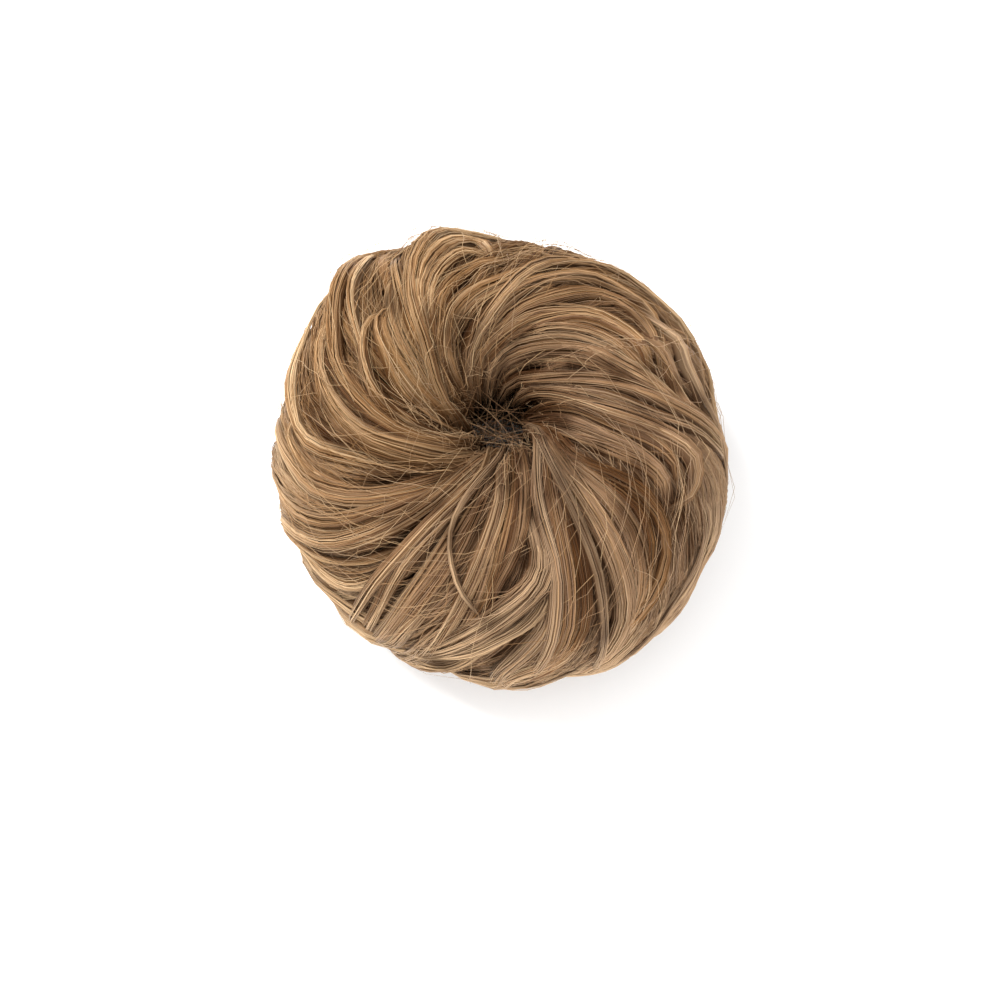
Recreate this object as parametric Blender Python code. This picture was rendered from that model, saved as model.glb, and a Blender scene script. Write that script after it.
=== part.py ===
"""Top knot hairpiece: a ring of curled false hair sewn round an elastic band.

Metres, +Z up. The ring lies on its foot at Z = 0, with its opening upright and the middle of its
bounding box on the Z axis. The elastic band sits low in the opening. An inner layer of packed hair
surrounds it, and over that layer two tiers of locks turn clockwise as they leave the opening: the upper
tier runs from the band over the crown to the rim, and the side tier wraps the lower side and the foot.

A place in the hair is given by three values. The roll goes once round the ring's section, in degrees:
0 faces the opening, 90 is the crown, 180 the rim and 270 the foot. The heading is the direction from
the opening's axis, in degrees from +X towards +Y. The inset is the depth below the outer surface.
"""

import math
from collections import namedtuple

import bmesh
import bpy

# Driving sizes of the whole ring, in metres
RIM_RADIUS = 0.060
OPENING_RADIUS = 0.0075
CROWN_HEIGHT = 0.050
WAIST_HEIGHT = 0.024
# Below 1 this squares the lower half of the section, so that it stands on a broad foot
FOOT_FULLNESS = 0.6

# Depths of the hair layers, in metres. In the throat of the opening the upper locks are crowded, and
# deeper than they are wide.
THROAT_LOCK_DEPTH = 0.0085
UPPER_LOCK_DEPTH = 0.0065
UPPER_TAIL_DEPTH = 0.0032
SIDE_LOCK_DEPTH = 0.0046
SIDE_NECK_DEPTH = 0.0028

# The elastic band, in metres
BAND_CORD_RADIUS = 0.0022
BAND_LIFT = 0.0028

# Clearances, in metres
SEAT_GAP = 0.0005
LOCK_GAP = 0.0005

# Rolls at which the headings of the upper locks are set
THROAT_ROLL = 20.0
CROWN_ROLL = 72.0
SHOULDER_ROLL = 120.0
RIM_ROLL = 168.0

# How the upper locks turn between and beyond those rolls: the share of the outer turn that is made by
# the shoulder, the share of the inner turn that is added from the throat back to a roll of -90, and the
# degrees that the tips turn on after the rim
SHOULDER_SHARE = 0.42
ROOT_SHARE = 0.35
TIP_TURN = 20.0

# First and last roll of each gradual change over the section
THROAT_TO_CROWN = (0.0, 62.0)
CROWN_TO_TAIL = (130.0, 162.0)
LOCK_RISING = (0.0, 50.0)
PUFF_RISING = (95.0, 140.0)
PUFF_FALLING = (182.0, 206.0)

# The hair has its sections at the same rolls in every piece of it, counted from the band: the last one of
# the upper tier, and the first and the last one of the side tier, whose roll is given
UPPER_TIP_SECTION = 17
SIDE_ROOT_SECTION = 13
SIDE_TIP_SECTION = 21
SIDE_TIP_ROLL = 262.0

# How far before a tip its taper starts and how far after the upper tips the side locks are fully out, in
# degrees of roll, and the share of the width or height that a tip loses
TIP_SPAN = 22.0
EMERGING_SPAN = 26.0
UPPER_TIP_NARROWING = 0.5
UPPER_TIP_THINNING = 0.5
SIDE_TIP_NARROWING = 0.3

# How far past the roots of the locks the under hair still follows the section, in degrees of roll
ROOT_SEAT_SPAN = 9.0

# Share of a lock's height at which its raised edge starts to lie over the next lock
TUCK_SHARE = 0.4
# How far the raised edge lies over the next lock, as a multiple of the height where it starts to
LAP_SLANT = 1.2

# Steps of the meshes
UPPER_BASE_STEPS = 2
SIDE_BASE_STEPS = 4
RING_STEPS = 48
BAND_STEPS = 36
BAND_SIDES = 8
SMOOTH_ANGLE = 50.0

# Each row is one upper lock, anticlockwise round the ring. throat, crown and rim are the headings of its
# tucked edge at the opening, on the crown and at the rim. rise is its height as a share of
# UPPER_LOCK_DEPTH. puff is how far it bulges at the rim, as a share of RIM_RADIUS.
UpperLock = namedtuple("UpperLock", "throat crown rim rise puff")
UPPER_LOCKS = (
    UpperLock(throat=12, crown=1, rim=-4, rise=0.95, puff=0.000),
    UpperLock(throat=24, crown=12, rim=6, rise=1.20, puff=0.010),
    UpperLock(throat=42, crown=25, rim=15, rise=0.95, puff=0.000),
    UpperLock(throat=78, crown=53, rim=28, rise=1.05, puff=0.005),
    UpperLock(throat=99, crown=75, rim=46, rise=1.00, puff=0.000),
    UpperLock(throat=113, crown=90, rim=65, rise=0.90, puff=0.005),
    UpperLock(throat=124, crown=101, rim=85, rise=1.00, puff=0.040),
    UpperLock(throat=141, crown=127, rim=111, rise=1.10, puff=0.000),
    UpperLock(throat=157, crown=137, rim=119, rise=1.05, puff=0.055),
    UpperLock(throat=188, crown=165, rim=134, rise=0.85, puff=0.020),
    UpperLock(throat=209, crown=187, rim=147, rise=1.20, puff=0.010),
    UpperLock(throat=231, crown=212, rim=167, rise=0.90, puff=0.000),
    UpperLock(throat=243, crown=222, rim=183, rise=1.00, puff=0.025),
    UpperLock(throat=254, crown=232, rim=197, rise=1.10, puff=0.020),
    UpperLock(throat=265, crown=241, rim=214, rise=0.90, puff=0.005),
    UpperLock(throat=276, crown=251, rim=231, rise=1.05, puff=0.030),
    UpperLock(throat=289, crown=267, rim=250, rise=0.95, puff=0.020),
    UpperLock(throat=304, crown=284, rim=268, rise=1.20, puff=0.030),
    UpperLock(throat=322, crown=302, rim=291, rise=1.00, puff=0.015),
    UpperLock(throat=338, crown=322, rim=312, rise=0.85, puff=0.000),
    UpperLock(throat=350, crown=339, rim=332, rise=1.10, puff=0.040),
    UpperLock(throat=361, crown=351, rim=347, rise=0.95, puff=0.030),
)

# Each row is one side lock. root and tip are the headings of its tucked edge below the upper tips and
# under the foot, and rise is its height as a share of SIDE_LOCK_DEPTH.
SideLock = namedtuple("SideLock", "root tip rise")
SIDE_LOCKS = (
    SideLock(root=10, tip=-48, rise=1.00),
    SideLock(root=38, tip=-18, rise=0.90),
    SideLock(root=72, tip=16, rise=1.00),
    SideLock(root=100, tip=44, rise=0.88),
    SideLock(root=132, tip=74, rise=1.00),
    SideLock(root=160, tip=104, rise=0.92),
    SideLock(root=192, tip=134, rise=1.00),
    SideLock(root=218, tip=162, rise=0.90),
    SideLock(root=250, tip=192, rise=1.00),
    SideLock(root=282, tip=222, rise=0.92),
    SideLock(root=308, tip=252, rise=1.00),
    SideLock(root=338, tip=282, rise=0.90),
)

# The outline is no circle: its reach in each direction, as a share of RIM_RADIUS
Reach = namedtuple("Reach", "heading share")
OUTLINE = (
    Reach(heading=0, share=0.935),
    Reach(heading=30, share=0.925),
    Reach(heading=60, share=0.860),
    Reach(heading=90, share=0.860),
    Reach(heading=120, share=0.910),
    Reach(heading=150, share=0.930),
    Reach(heading=180, share=0.940),
    Reach(heading=210, share=0.995),
    Reach(heading=240, share=1.050),
    Reach(heading=270, share=1.080),
    Reach(heading=300, share=1.120),
    Reach(heading=330, share=1.030),
)

# A lock's outline across its width, from the tucked edge to the raised one: across is the share of the
# width, and up the share of the way from the tuck to the top of the lock
Bulge = namedtuple("Bulge", "across up")
LOCK_BULGE = (
    Bulge(across=0.32, up=0.72),
    Bulge(across=0.66, up=1.00),
    Bulge(across=0.94, up=0.68),
)

# Colours of the hair in the light, the hair in the shade and a dark brown elastic
UPPER_HAIR_COLOUR = (0.36, 0.22, 0.11, 1.0)
SIDE_HAIR_COLOUR = (0.33, 0.20, 0.11, 1.0)
UNDER_HAIR_COLOUR = (0.12, 0.065, 0.03, 1.0)
BAND_COLOUR = (0.045, 0.028, 0.018, 1.0)

# Worked out from the driving sizes
SECTION_RADIUS = (RIM_RADIUS + OPENING_RADIUS) / 2
SECTION_HALF_WIDTH = (RIM_RADIUS - OPENING_RADIUS) / 2
THROAT_WALL_RADIUS = OPENING_RADIUS + THROAT_LOCK_DEPTH + SEAT_GAP
BAND_RADIUS = THROAT_WALL_RADIUS - SEAT_GAP - BAND_CORD_RADIUS
BAND_TOP = BAND_LIFT + 2 * BAND_CORD_RADIUS
TAIL_STACK_DEPTH = UPPER_TAIL_DEPTH + SIDE_NECK_DEPTH + 2 * SEAT_GAP
# The roll in the throat at which the outer surface is just above the band
ROOT_DROP = (WAIST_HEIGHT - BAND_TOP - SEAT_GAP) / WAIST_HEIGHT
ROOT_ROLL = -math.degrees(math.asin(ROOT_DROP ** (1 / FOOT_FULLNESS)))
ROLL_STEP = (SIDE_TIP_ROLL - ROOT_ROLL) / SIDE_TIP_SECTION
ROLLS = [ROOT_ROLL + ROLL_STEP * section for section in range(SIDE_TIP_SECTION + 1)]
UPPER_TIP_ROLL = ROLLS[UPPER_TIP_SECTION]
SIDE_ROOT_ROLL = ROLLS[SIDE_ROOT_SECTION]


def clear_scene():
    for old in list(bpy.data.objects):
        bpy.data.objects.remove(old)


def ease(value, start, end):
    """0 before start, 1 after end, and smooth between them."""
    share = min(1.0, max(0.0, (value - start) / (end - start)))
    return share * share * (3 - 2 * share)


def through(x, knots):
    """A smooth curve through knots, a rising list of (x, y)."""
    last = len(knots) - 1
    i = next((k for k in range(1, last) if x < knots[k][0]), last) - 1
    (x0, y0), (x1, y1) = knots[i], knots[i + 1]
    before, after = knots[max(i - 1, 0)], knots[min(i + 2, last)]
    slope_0 = (y1 - before[1]) / (x1 - before[0])
    slope_1 = (after[1] - y0) / (after[0] - x0)
    width = x1 - x0
    t = (x - x0) / width
    return (
        (2 * t**3 - 3 * t**2 + 1) * y0
        + (t**3 - 2 * t**2 + t) * width * slope_0
        + (3 * t**2 - 2 * t**3) * y1
        + (t**3 - t**2) * width * slope_1
    )


def section_point(roll, inset):
    """Radius and height of a point of the ring's section before the outline is applied."""
    turn = math.radians(roll)
    radius = SECTION_RADIUS - (SECTION_HALF_WIDTH - inset) * math.cos(turn)
    rise = math.sin(turn)
    if rise >= 0:
        height = WAIST_HEIGHT + (CROWN_HEIGHT - WAIST_HEIGHT - inset) * rise
    else:
        height = WAIST_HEIGHT - (WAIST_HEIGHT - inset) * (-rise) ** FOOT_FULLNESS
    return radius, height


def outline_share(heading):
    """The outline's reach in any direction, on a smooth closed curve through OUTLINE."""
    first = OUTLINE[0].heading
    around = (heading - first) % 360 + first
    knots = [(row.heading + 360 * lap, row.share) for lap in (-1, 0, 1) for row in OUTLINE]
    return through(around, knots)


def placed(radius, height, heading):
    """A point of the model. Past the throat's wall the radius stretches to the outline."""
    past_wall = max(0.0, (radius - THROAT_WALL_RADIUS) / (RIM_RADIUS - THROAT_WALL_RADIUS))
    radius += (outline_share(heading) - 1) * RIM_RADIUS * past_wall
    turn = math.radians(heading)
    return radius * math.cos(turn), radius * math.sin(turn), height


def under_inset(roll):
    """Depth of the under hair's surface, which both tiers of locks lie on."""
    depth = THROAT_LOCK_DEPTH + SEAT_GAP
    depth += (UPPER_LOCK_DEPTH - THROAT_LOCK_DEPTH) * ease(roll, *THROAT_TO_CROWN)
    depth += (TAIL_STACK_DEPTH - depth) * ease(roll, *CROWN_TO_TAIL)
    return depth + (SIDE_LOCK_DEPTH + SEAT_GAP - depth) * side_emerging(roll)


def side_emerging(roll):
    """0 where the upper tips cover the side locks, and 1 where the side locks reach the surface."""
    return ease(roll, UPPER_TIP_ROLL, UPPER_TIP_ROLL + EMERGING_SPAN)


def upper_bottom_inset(roll):
    """Depth of an upper lock's underside: on the under hair, then on the side locks."""
    on_sides = ease(roll, SIDE_ROOT_ROLL - ROLL_STEP, SIDE_ROOT_ROLL + ROLL_STEP)
    on_under = under_inset(roll) - SEAT_GAP
    return on_under + (UPPER_TAIL_DEPTH - on_under) * on_sides


def side_bottom_inset(roll):
    return under_inset(roll) - SEAT_GAP


def side_top_inset(roll):
    """Depth of a side lock's outer surface: under the upper tips, then out to the full form."""
    return (upper_bottom_inset(roll) + SEAT_GAP) * (1 - side_emerging(roll))


def upper_edge(row, roll):
    """Heading of an upper lock's tucked edge."""
    knots = [
        (-90, row.throat + ROOT_SHARE * (row.throat - row.crown)),
        (THROAT_ROLL, row.throat),
        (CROWN_ROLL, row.crown),
        (SHOULDER_ROLL, row.crown + SHOULDER_SHARE * (row.rim - row.crown)),
        (RIM_ROLL, row.rim),
        (UPPER_TIP_ROLL, row.rim - TIP_TURN),
    ]
    return through(roll, knots)


def side_edge(row, roll):
    """Heading of a side lock's tucked edge."""
    share = (roll - SIDE_ROOT_ROLL) / (SIDE_TIP_ROLL - SIDE_ROOT_ROLL)
    return row.root + (row.tip - row.root) * share


def half_gap(edge, row, roll):
    """Half the gap between two locks as a heading, wider where their edge slants across the section."""
    radius, height = section_point(roll, 0)
    next_radius, next_height = section_point(roll + 1, 0)
    run = math.hypot(next_radius - radius, next_height - height)
    slant = radius * math.radians(edge(row, roll + 1) - edge(row, roll)) / run
    widening = math.hypot(1, slant) * math.hypot(1, LAP_SLANT)
    return math.degrees(LOCK_GAP / 2 * widening / radius)


def lock_section(roll, rows, index, edge, base_steps, bottom, room, height, taper):
    """Points round one section of a lock, from its tucked edge over its top to its raised edge and back
    along its underside. bottom is the depth of the underside, room the usual height of a lock at this
    roll, height the lock's own, and taper the share of the width that is left towards the tip."""
    after = rows[(index + 1) % len(rows)]
    low = edge(rows[index], roll)
    high = edge(after, roll) + (360 if index + 1 == len(rows) else 0)
    radius = section_point(roll, bottom / 2)[0]
    tuck = TUCK_SHARE * room * taper
    lap = math.degrees(LAP_SLANT * tuck / radius)
    middle = (low + high) / 2
    low += half_gap(edge, rows[index], roll)
    high -= half_gap(edge, after, roll)

    corners = [(low, 0.0), (low + lap, tuck)]
    for bulge in LOCK_BULGE:
        corners.append((low + lap + (high - low) * bulge.across, tuck + (height - tuck) * bulge.up))
    corners.append((high + lap, tuck))
    for step in range(base_steps):
        corners.append((high + (low - high) * step / base_steps, 0.0))

    points = []
    for heading, up in corners:
        centre = middle + lap * min(1.0, up / tuck)
        narrowed = centre + (heading - centre) * taper
        points.append(placed(*section_point(roll, bottom - up), narrowed))
    return points


def finished_mesh(name, mesh):
    bmesh.ops.recalc_face_normals(mesh, faces=mesh.faces)
    data = bpy.data.meshes.new(name)
    mesh.to_mesh(data)
    mesh.free()
    data.shade_smooth()
    data.set_sharp_from_angle(angle=math.radians(SMOOTH_ANGLE))
    return data


def lock_mesh(name, sections):
    """A closed mesh through the sections of a lock, with a flat cap at each end. The faces of the
    underside are split the other way, so that they match those of the edge tucked below them."""
    mesh = bmesh.new()
    rings = [[mesh.verts.new(point) for point in section] for section in sections]
    count = len(rings[0])
    first_under = len(LOCK_BULGE) + 2
    for ring, after in zip(rings, rings[1:]):
        for i in range(count):
            j = (i + 1) % count
            if i < first_under:
                mesh.faces.new((ring[i], ring[j], after[j]))
                mesh.faces.new((ring[i], after[j], after[i]))
            else:
                mesh.faces.new((ring[i], ring[j], after[i]))
                mesh.faces.new((ring[j], after[j], after[i]))
    mesh.faces.new(reversed(rings[0]))
    mesh.faces.new(rings[-1])
    return finished_mesh(name, mesh)


def upper_lock(index):
    """One lock of the upper tier, from just above the band to its tip below the rim."""
    row = UPPER_LOCKS[index]
    sections = []
    for roll in ROLLS[: UPPER_TIP_SECTION + 1]:
        bottom = upper_bottom_inset(roll)
        risen = 1 + (row.rise - 1) * ease(roll, *LOCK_RISING)
        puffed = ease(roll, *PUFF_RISING) * (1 - ease(roll, *PUFF_FALLING))
        tip = ease(roll, UPPER_TIP_ROLL - TIP_SPAN, UPPER_TIP_ROLL)
        height = (bottom * risen + row.puff * RIM_RADIUS * puffed) * (1 - UPPER_TIP_THINNING * tip)
        taper = 1 - UPPER_TIP_NARROWING * tip
        sections.append(
            lock_section(
                roll, UPPER_LOCKS, index, upper_edge, UPPER_BASE_STEPS, bottom, bottom, height, taper
            )
        )
    return lock_mesh(f"upper_lock_{index + 1:02d}", sections)


def side_lock(index):
    """One lock of the side tier, from under the upper tips to its end beneath the foot."""
    row = SIDE_LOCKS[index]
    sections = []
    for roll in ROLLS[SIDE_ROOT_SECTION:]:
        bottom = side_bottom_inset(roll)
        room = bottom - side_top_inset(roll)
        height = room * (1 + (row.rise - 1) * side_emerging(roll))
        tip = ease(roll, SIDE_TIP_ROLL - TIP_SPAN, SIDE_TIP_ROLL)
        taper = 1 - SIDE_TIP_NARROWING * tip
        sections.append(
            lock_section(roll, SIDE_LOCKS, index, side_edge, SIDE_BASE_STEPS, bottom, room, height, taper)
        )
    return lock_mesh(f"side_lock_{index + 1:02d}", sections)


def under_hair():
    """The packed inner layer: a ring under both tiers, with a flat foot and a wall round the band."""
    profile = [section_point(roll, under_inset(roll)) for roll in ROLLS]
    profile.append((SECTION_RADIUS, 0.0))
    profile.append((THROAT_WALL_RADIUS, 0.0))
    profile.append((THROAT_WALL_RADIUS, BAND_TOP))
    profile.append(section_point(ROOT_ROLL - ROOT_SEAT_SPAN, under_inset(ROOT_ROLL)))
    mesh = bmesh.new()
    rings = []
    for step in range(RING_STEPS):
        heading = 360 * step / RING_STEPS
        rings.append([mesh.verts.new(placed(radius, height, heading)) for radius, height in profile])
    count = len(profile)
    for step, ring in enumerate(rings):
        after = rings[(step + 1) % RING_STEPS]
        for i in range(count):
            j = (i + 1) % count
            mesh.faces.new((ring[i], ring[j], after[j], after[i]))
    return finished_mesh("under_hair", mesh)


def elastic_band():
    """The covered elastic ring that all of the hair is sewn to."""
    bpy.ops.mesh.primitive_torus_add(
        major_radius=BAND_RADIUS,
        minor_radius=BAND_CORD_RADIUS,
        major_segments=BAND_STEPS,
        minor_segments=BAND_SIDES,
    )
    made = bpy.context.object
    data = made.data
    data.name = "elastic_band"
    bpy.data.objects.remove(made)
    data.shade_smooth()
    return data


def material(name, colour, roughness):
    made = bpy.data.materials.new(name)
    made.use_nodes = True
    shader = made.node_tree.nodes["Principled BSDF"]
    shader.inputs["Base Color"].default_value = colour
    shader.inputs["Roughness"].default_value = roughness
    shader.inputs["Metallic"].default_value = 0.0
    return made


def add_piece(data, finish, collection):
    """Puts a mesh in the collection as an object of the same name."""
    data.materials.append(finish)
    made = bpy.data.objects.new(data.name, data)
    collection.objects.link(made)
    return made


def centre_on_origin(pieces):
    """Moves the whole hairpiece sideways, so that its bounding box is centred on the Z axis."""
    corners = [vertex.co for piece in pieces for vertex in piece.data.vertices]
    middle_x = (min(c.x for c in corners) + max(c.x for c in corners)) / 2
    middle_y = (min(c.y for c in corners) + max(c.y for c in corners)) / 2
    for piece in pieces:
        piece.location.x -= middle_x
        piece.location.y -= middle_y


def build():
    clear_scene()
    collection = bpy.data.collections.new("top_knot_hairpiece")
    bpy.context.scene.collection.children.link(collection)
    upper_hair = material("upper_hair", UPPER_HAIR_COLOUR, 0.45)
    side_hair = material("side_hair", SIDE_HAIR_COLOUR, 0.5)
    shaded_hair = material("under_hair", UNDER_HAIR_COLOUR, 0.7)
    elastic = material("elastic", BAND_COLOUR, 0.8)
    band = add_piece(elastic_band(), elastic, collection)
    pieces = [band, add_piece(under_hair(), shaded_hair, collection)]
    for index in range(len(UPPER_LOCKS)):
        pieces.append(add_piece(upper_lock(index), upper_hair, collection))
    for index in range(len(SIDE_LOCKS)):
        pieces.append(add_piece(side_lock(index), side_hair, collection))
    centre_on_origin(pieces)
    band.location.z += BAND_LIFT + BAND_CORD_RADIUS


build()
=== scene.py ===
"""Looks of the top knot hairpiece: every lock gets a dense bed of packed hair and fine strands over it, and
looser locks and single hairs lie over those.

Metres, +Z up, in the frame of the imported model. A place in the hair is given as in the solids. The roll
goes once round the ring's section, in degrees: 0 faces the opening, 90 is the crown, 180 the rim and 270
the foot. The heading is the direction from the opening's axis, in degrees from +X towards +Y. The inset
is the depth below the outer surface.
"""

import math
from collections import namedtuple
from functools import partial

import bpy
import numpy as np
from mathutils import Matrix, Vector


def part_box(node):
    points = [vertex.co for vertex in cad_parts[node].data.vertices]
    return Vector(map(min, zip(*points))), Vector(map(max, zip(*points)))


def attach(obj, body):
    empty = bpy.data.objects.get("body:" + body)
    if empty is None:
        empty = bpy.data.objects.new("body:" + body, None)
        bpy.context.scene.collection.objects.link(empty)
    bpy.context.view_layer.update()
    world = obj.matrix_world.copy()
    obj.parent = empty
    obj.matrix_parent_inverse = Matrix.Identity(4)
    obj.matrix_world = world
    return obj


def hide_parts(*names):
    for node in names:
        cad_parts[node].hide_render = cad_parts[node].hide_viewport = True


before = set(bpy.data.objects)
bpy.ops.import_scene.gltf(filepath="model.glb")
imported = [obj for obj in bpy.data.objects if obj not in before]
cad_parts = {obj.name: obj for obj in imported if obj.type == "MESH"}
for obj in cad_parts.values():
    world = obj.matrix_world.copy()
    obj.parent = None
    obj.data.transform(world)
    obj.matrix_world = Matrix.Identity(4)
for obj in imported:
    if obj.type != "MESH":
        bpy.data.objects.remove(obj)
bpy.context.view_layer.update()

bl_info = {
    "name": "Top Knot Hairpiece",
    "version": (1, 0, 0),
    "blender": (4, 5, 0),
    "location": "View3D > Sidebar > Hairpiece",
    "description": "Builds the strands, beds, elastic and stage of a curly bun hairpiece",
    "category": "Object",
}

# Sizes of the ring and its layers, as in the solids, in metres
RIM_RADIUS = 0.060
OPENING_RADIUS = 0.0075
CROWN_HEIGHT = 0.050
WAIST_HEIGHT = 0.024
FOOT_FULLNESS = 0.6
THROAT_LOCK_DEPTH = 0.0085
UPPER_LOCK_DEPTH = 0.0065
UPPER_TAIL_DEPTH = 0.0032
SIDE_LOCK_DEPTH = 0.0046
SIDE_NECK_DEPTH = 0.0028
BAND_CORD_RADIUS = 0.0022
BAND_LIFT = 0.0028
SEAT_GAP = 0.0005

# Rolls, turns and shares of the locks, as in the solids
THROAT_ROLL = 20.0
CROWN_ROLL = 72.0
SHOULDER_ROLL = 120.0
RIM_ROLL = 168.0
SHOULDER_SHARE = 0.42
ROOT_SHARE = 0.35
TIP_TURN = 20.0
THROAT_TO_CROWN = (0.0, 62.0)
CROWN_TO_TAIL = (130.0, 162.0)
LOCK_RISING = (0.0, 50.0)
PUFF_RISING = (95.0, 140.0)
PUFF_FALLING = (182.0, 206.0)
UPPER_TIP_SECTION = 17
SIDE_ROOT_SECTION = 13
SIDE_TIP_SECTION = 21
SIDE_TIP_ROLL = 262.0
TIP_SPAN = 22.0
EMERGING_SPAN = 26.0
UPPER_TIP_NARROWING = 0.5
UPPER_TIP_THINNING = 0.5
SIDE_TIP_NARROWING = 0.3
TUCK_SHARE = 0.4
LAP_SLANT = 1.2

# The upper locks, anticlockwise round the ring: the headings of each one's tucked edge at the opening, on
# the crown and at the rim, its height as a share of UPPER_LOCK_DEPTH, and its bulge at the rim as a share
# of RIM_RADIUS
UpperLock = namedtuple("UpperLock", "throat crown rim rise puff")
UPPER_LOCKS = tuple(map(UpperLock._make, (
    (12, 1, -4, 0.95, 0.000), (24, 12, 6, 1.20, 0.010), (42, 25, 15, 0.95, 0.000), (78, 53, 28, 1.05, 0.005),
    (99, 75, 46, 1.00, 0.000), (113, 90, 65, 0.90, 0.005), (124, 101, 85, 1.00, 0.040),
    (141, 127, 111, 1.10, 0.000), (157, 137, 119, 1.05, 0.055), (188, 165, 134, 0.85, 0.020),
    (209, 187, 147, 1.20, 0.010), (231, 212, 167, 0.90, 0.000), (243, 222, 183, 1.00, 0.025),
    (254, 232, 197, 1.10, 0.020), (265, 241, 214, 0.90, 0.005), (276, 251, 231, 1.05, 0.030),
    (289, 267, 250, 0.95, 0.020), (304, 284, 268, 1.20, 0.030), (322, 302, 291, 1.00, 0.015),
    (338, 322, 312, 0.85, 0.000), (350, 339, 332, 1.10, 0.040), (361, 351, 347, 0.95, 0.030),
)))

# The side locks: the headings of each one's tucked edge at its root and tip, and its height as a share of
# SIDE_LOCK_DEPTH
SideLock = namedtuple("SideLock", "root tip rise")
SIDE_LOCKS = tuple(map(SideLock._make, (
    (10, -48, 1.00), (38, -18, 0.90), (72, 16, 1.00), (100, 44, 0.88), (132, 74, 1.00), (160, 104, 0.92),
    (192, 134, 1.00), (218, 162, 0.90), (250, 192, 1.00), (282, 222, 0.92), (308, 252, 1.00), (338, 282, 0.90),
)))

# The outline's reach in each direction, as a share of RIM_RADIUS
Reach = namedtuple("Reach", "heading share")
OUTLINE = tuple(map(Reach._make, (
    (0, 0.935), (30, 0.925), (60, 0.860), (90, 0.860), (120, 0.910), (150, 0.930), (180, 0.940), (210, 0.995),
    (240, 1.050), (270, 1.080), (300, 1.120), (330, 1.030),
)))

# Spots of painted shade in the deep hollows between the locks, by heading and roll, and how far each reaches
# either way
Hollow = namedtuple("Hollow", "heading roll half_turn half_roll")
SHADED_HOLLOWS = tuple(map(Hollow._make, (
    (118, 62, 8, 16), (107, 66, 8, 12), (124, 46, 8, 12), (147, 35, 8, 10), (56, 40, 14, 10), (24, 63, 10, 8),
    (11, 86, 8, 8), (35, 121, 7, 7), (184, 120, 7, 8), (191, 114, 6, 8), (199, 103, 6, 7), (214, 96, 6, 8),
    (222, 84, 7, 8), (241, 66, 9, 8), (174, 82, 5, 6), (183, 78, 5, 6), (189, 75, 5, 5), (233, 105, 5, 8),
    (238, 93, 5, 8), (244, 82, 5, 8), (255, 97, 5, 10), (260, 84, 5, 8), (261, 74, 6, 8), (267, 130, 5, 10),
    (271, 114, 5, 12), (279, 102, 5, 10), (299, 99, 6, 14), (296, 120, 5, 16), (294, 146, 4, 14),
    (323, 62, 9, 9), (328, 78, 8, 9), (329, 102, 7, 9), (316, 106, 5, 8), (313, 115, 4, 9), (312, 127, 4, 9),
    (329, 126, 6, 8), (328, 142, 6, 8), (327, 159, 6, 8), (12, 106, 6, 8), (5, 121, 5, 8), (2, 141, 5, 10),
    (316, 18, 16, 12), (290, 45, 6, 12), (282, 68, 4, 14), (257, 169, 5, 8), (126, 76, 7, 9), (142, 66, 6, 9),
    (21, 23, 22, 12), (352, 38, 18, 11), (342, 51, 12, 8), (160, 23, 22, 12), (193, 33, 16, 10),
    (300, 78, 11, 16), (315, 70, 10, 16), (318, 42, 12, 10), (286, 84, 4, 12), (272, 62, 8, 10),
    (234, 77, 8, 8), (200, 55, 10, 9), (136, 100, 5, 14), (148, 45, 8, 10), (322, 95, 6, 12), (321, 112, 5, 10),
    (328, 48, 10, 8), (350, 100, 7, 7), (184, 62, 8, 8), (126, 62, 7, 12),
)))

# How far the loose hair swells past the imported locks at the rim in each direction, in millimetres
Swell = namedtuple("Swell", "heading rise")
SWELLS = tuple(map(Swell._make, (
    (0, 0.3), (10, -0.2), (20, 0.3), (30, 0.6), (40, 0.3), (50, 0.1), (60, 0.5), (70, 0.8), (80, 0.4),
    (90, 0.1), (100, 0.0), (110, 0.3), (120, 1.5), (130, 2.0), (140, 1.4), (150, 0.1), (160, -1.4), (170, -0.8),
    (180, 0.5), (190, -0.2), (200, -1.0), (210, -1.2), (220, -1.9), (230, -2.3), (240, -1.7), (250, -0.6),
    (260, -0.5), (270, -1.2), (280, -1.4), (290, -1.5), (300, -1.4), (310, -0.6), (320, -0.2), (330, -0.9),
    (340, -0.6), (350, 0.5),
)))

# The share of their lift that the laid locks lose towards the rim
RIM_LIFT_LOSS = 0.55
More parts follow.
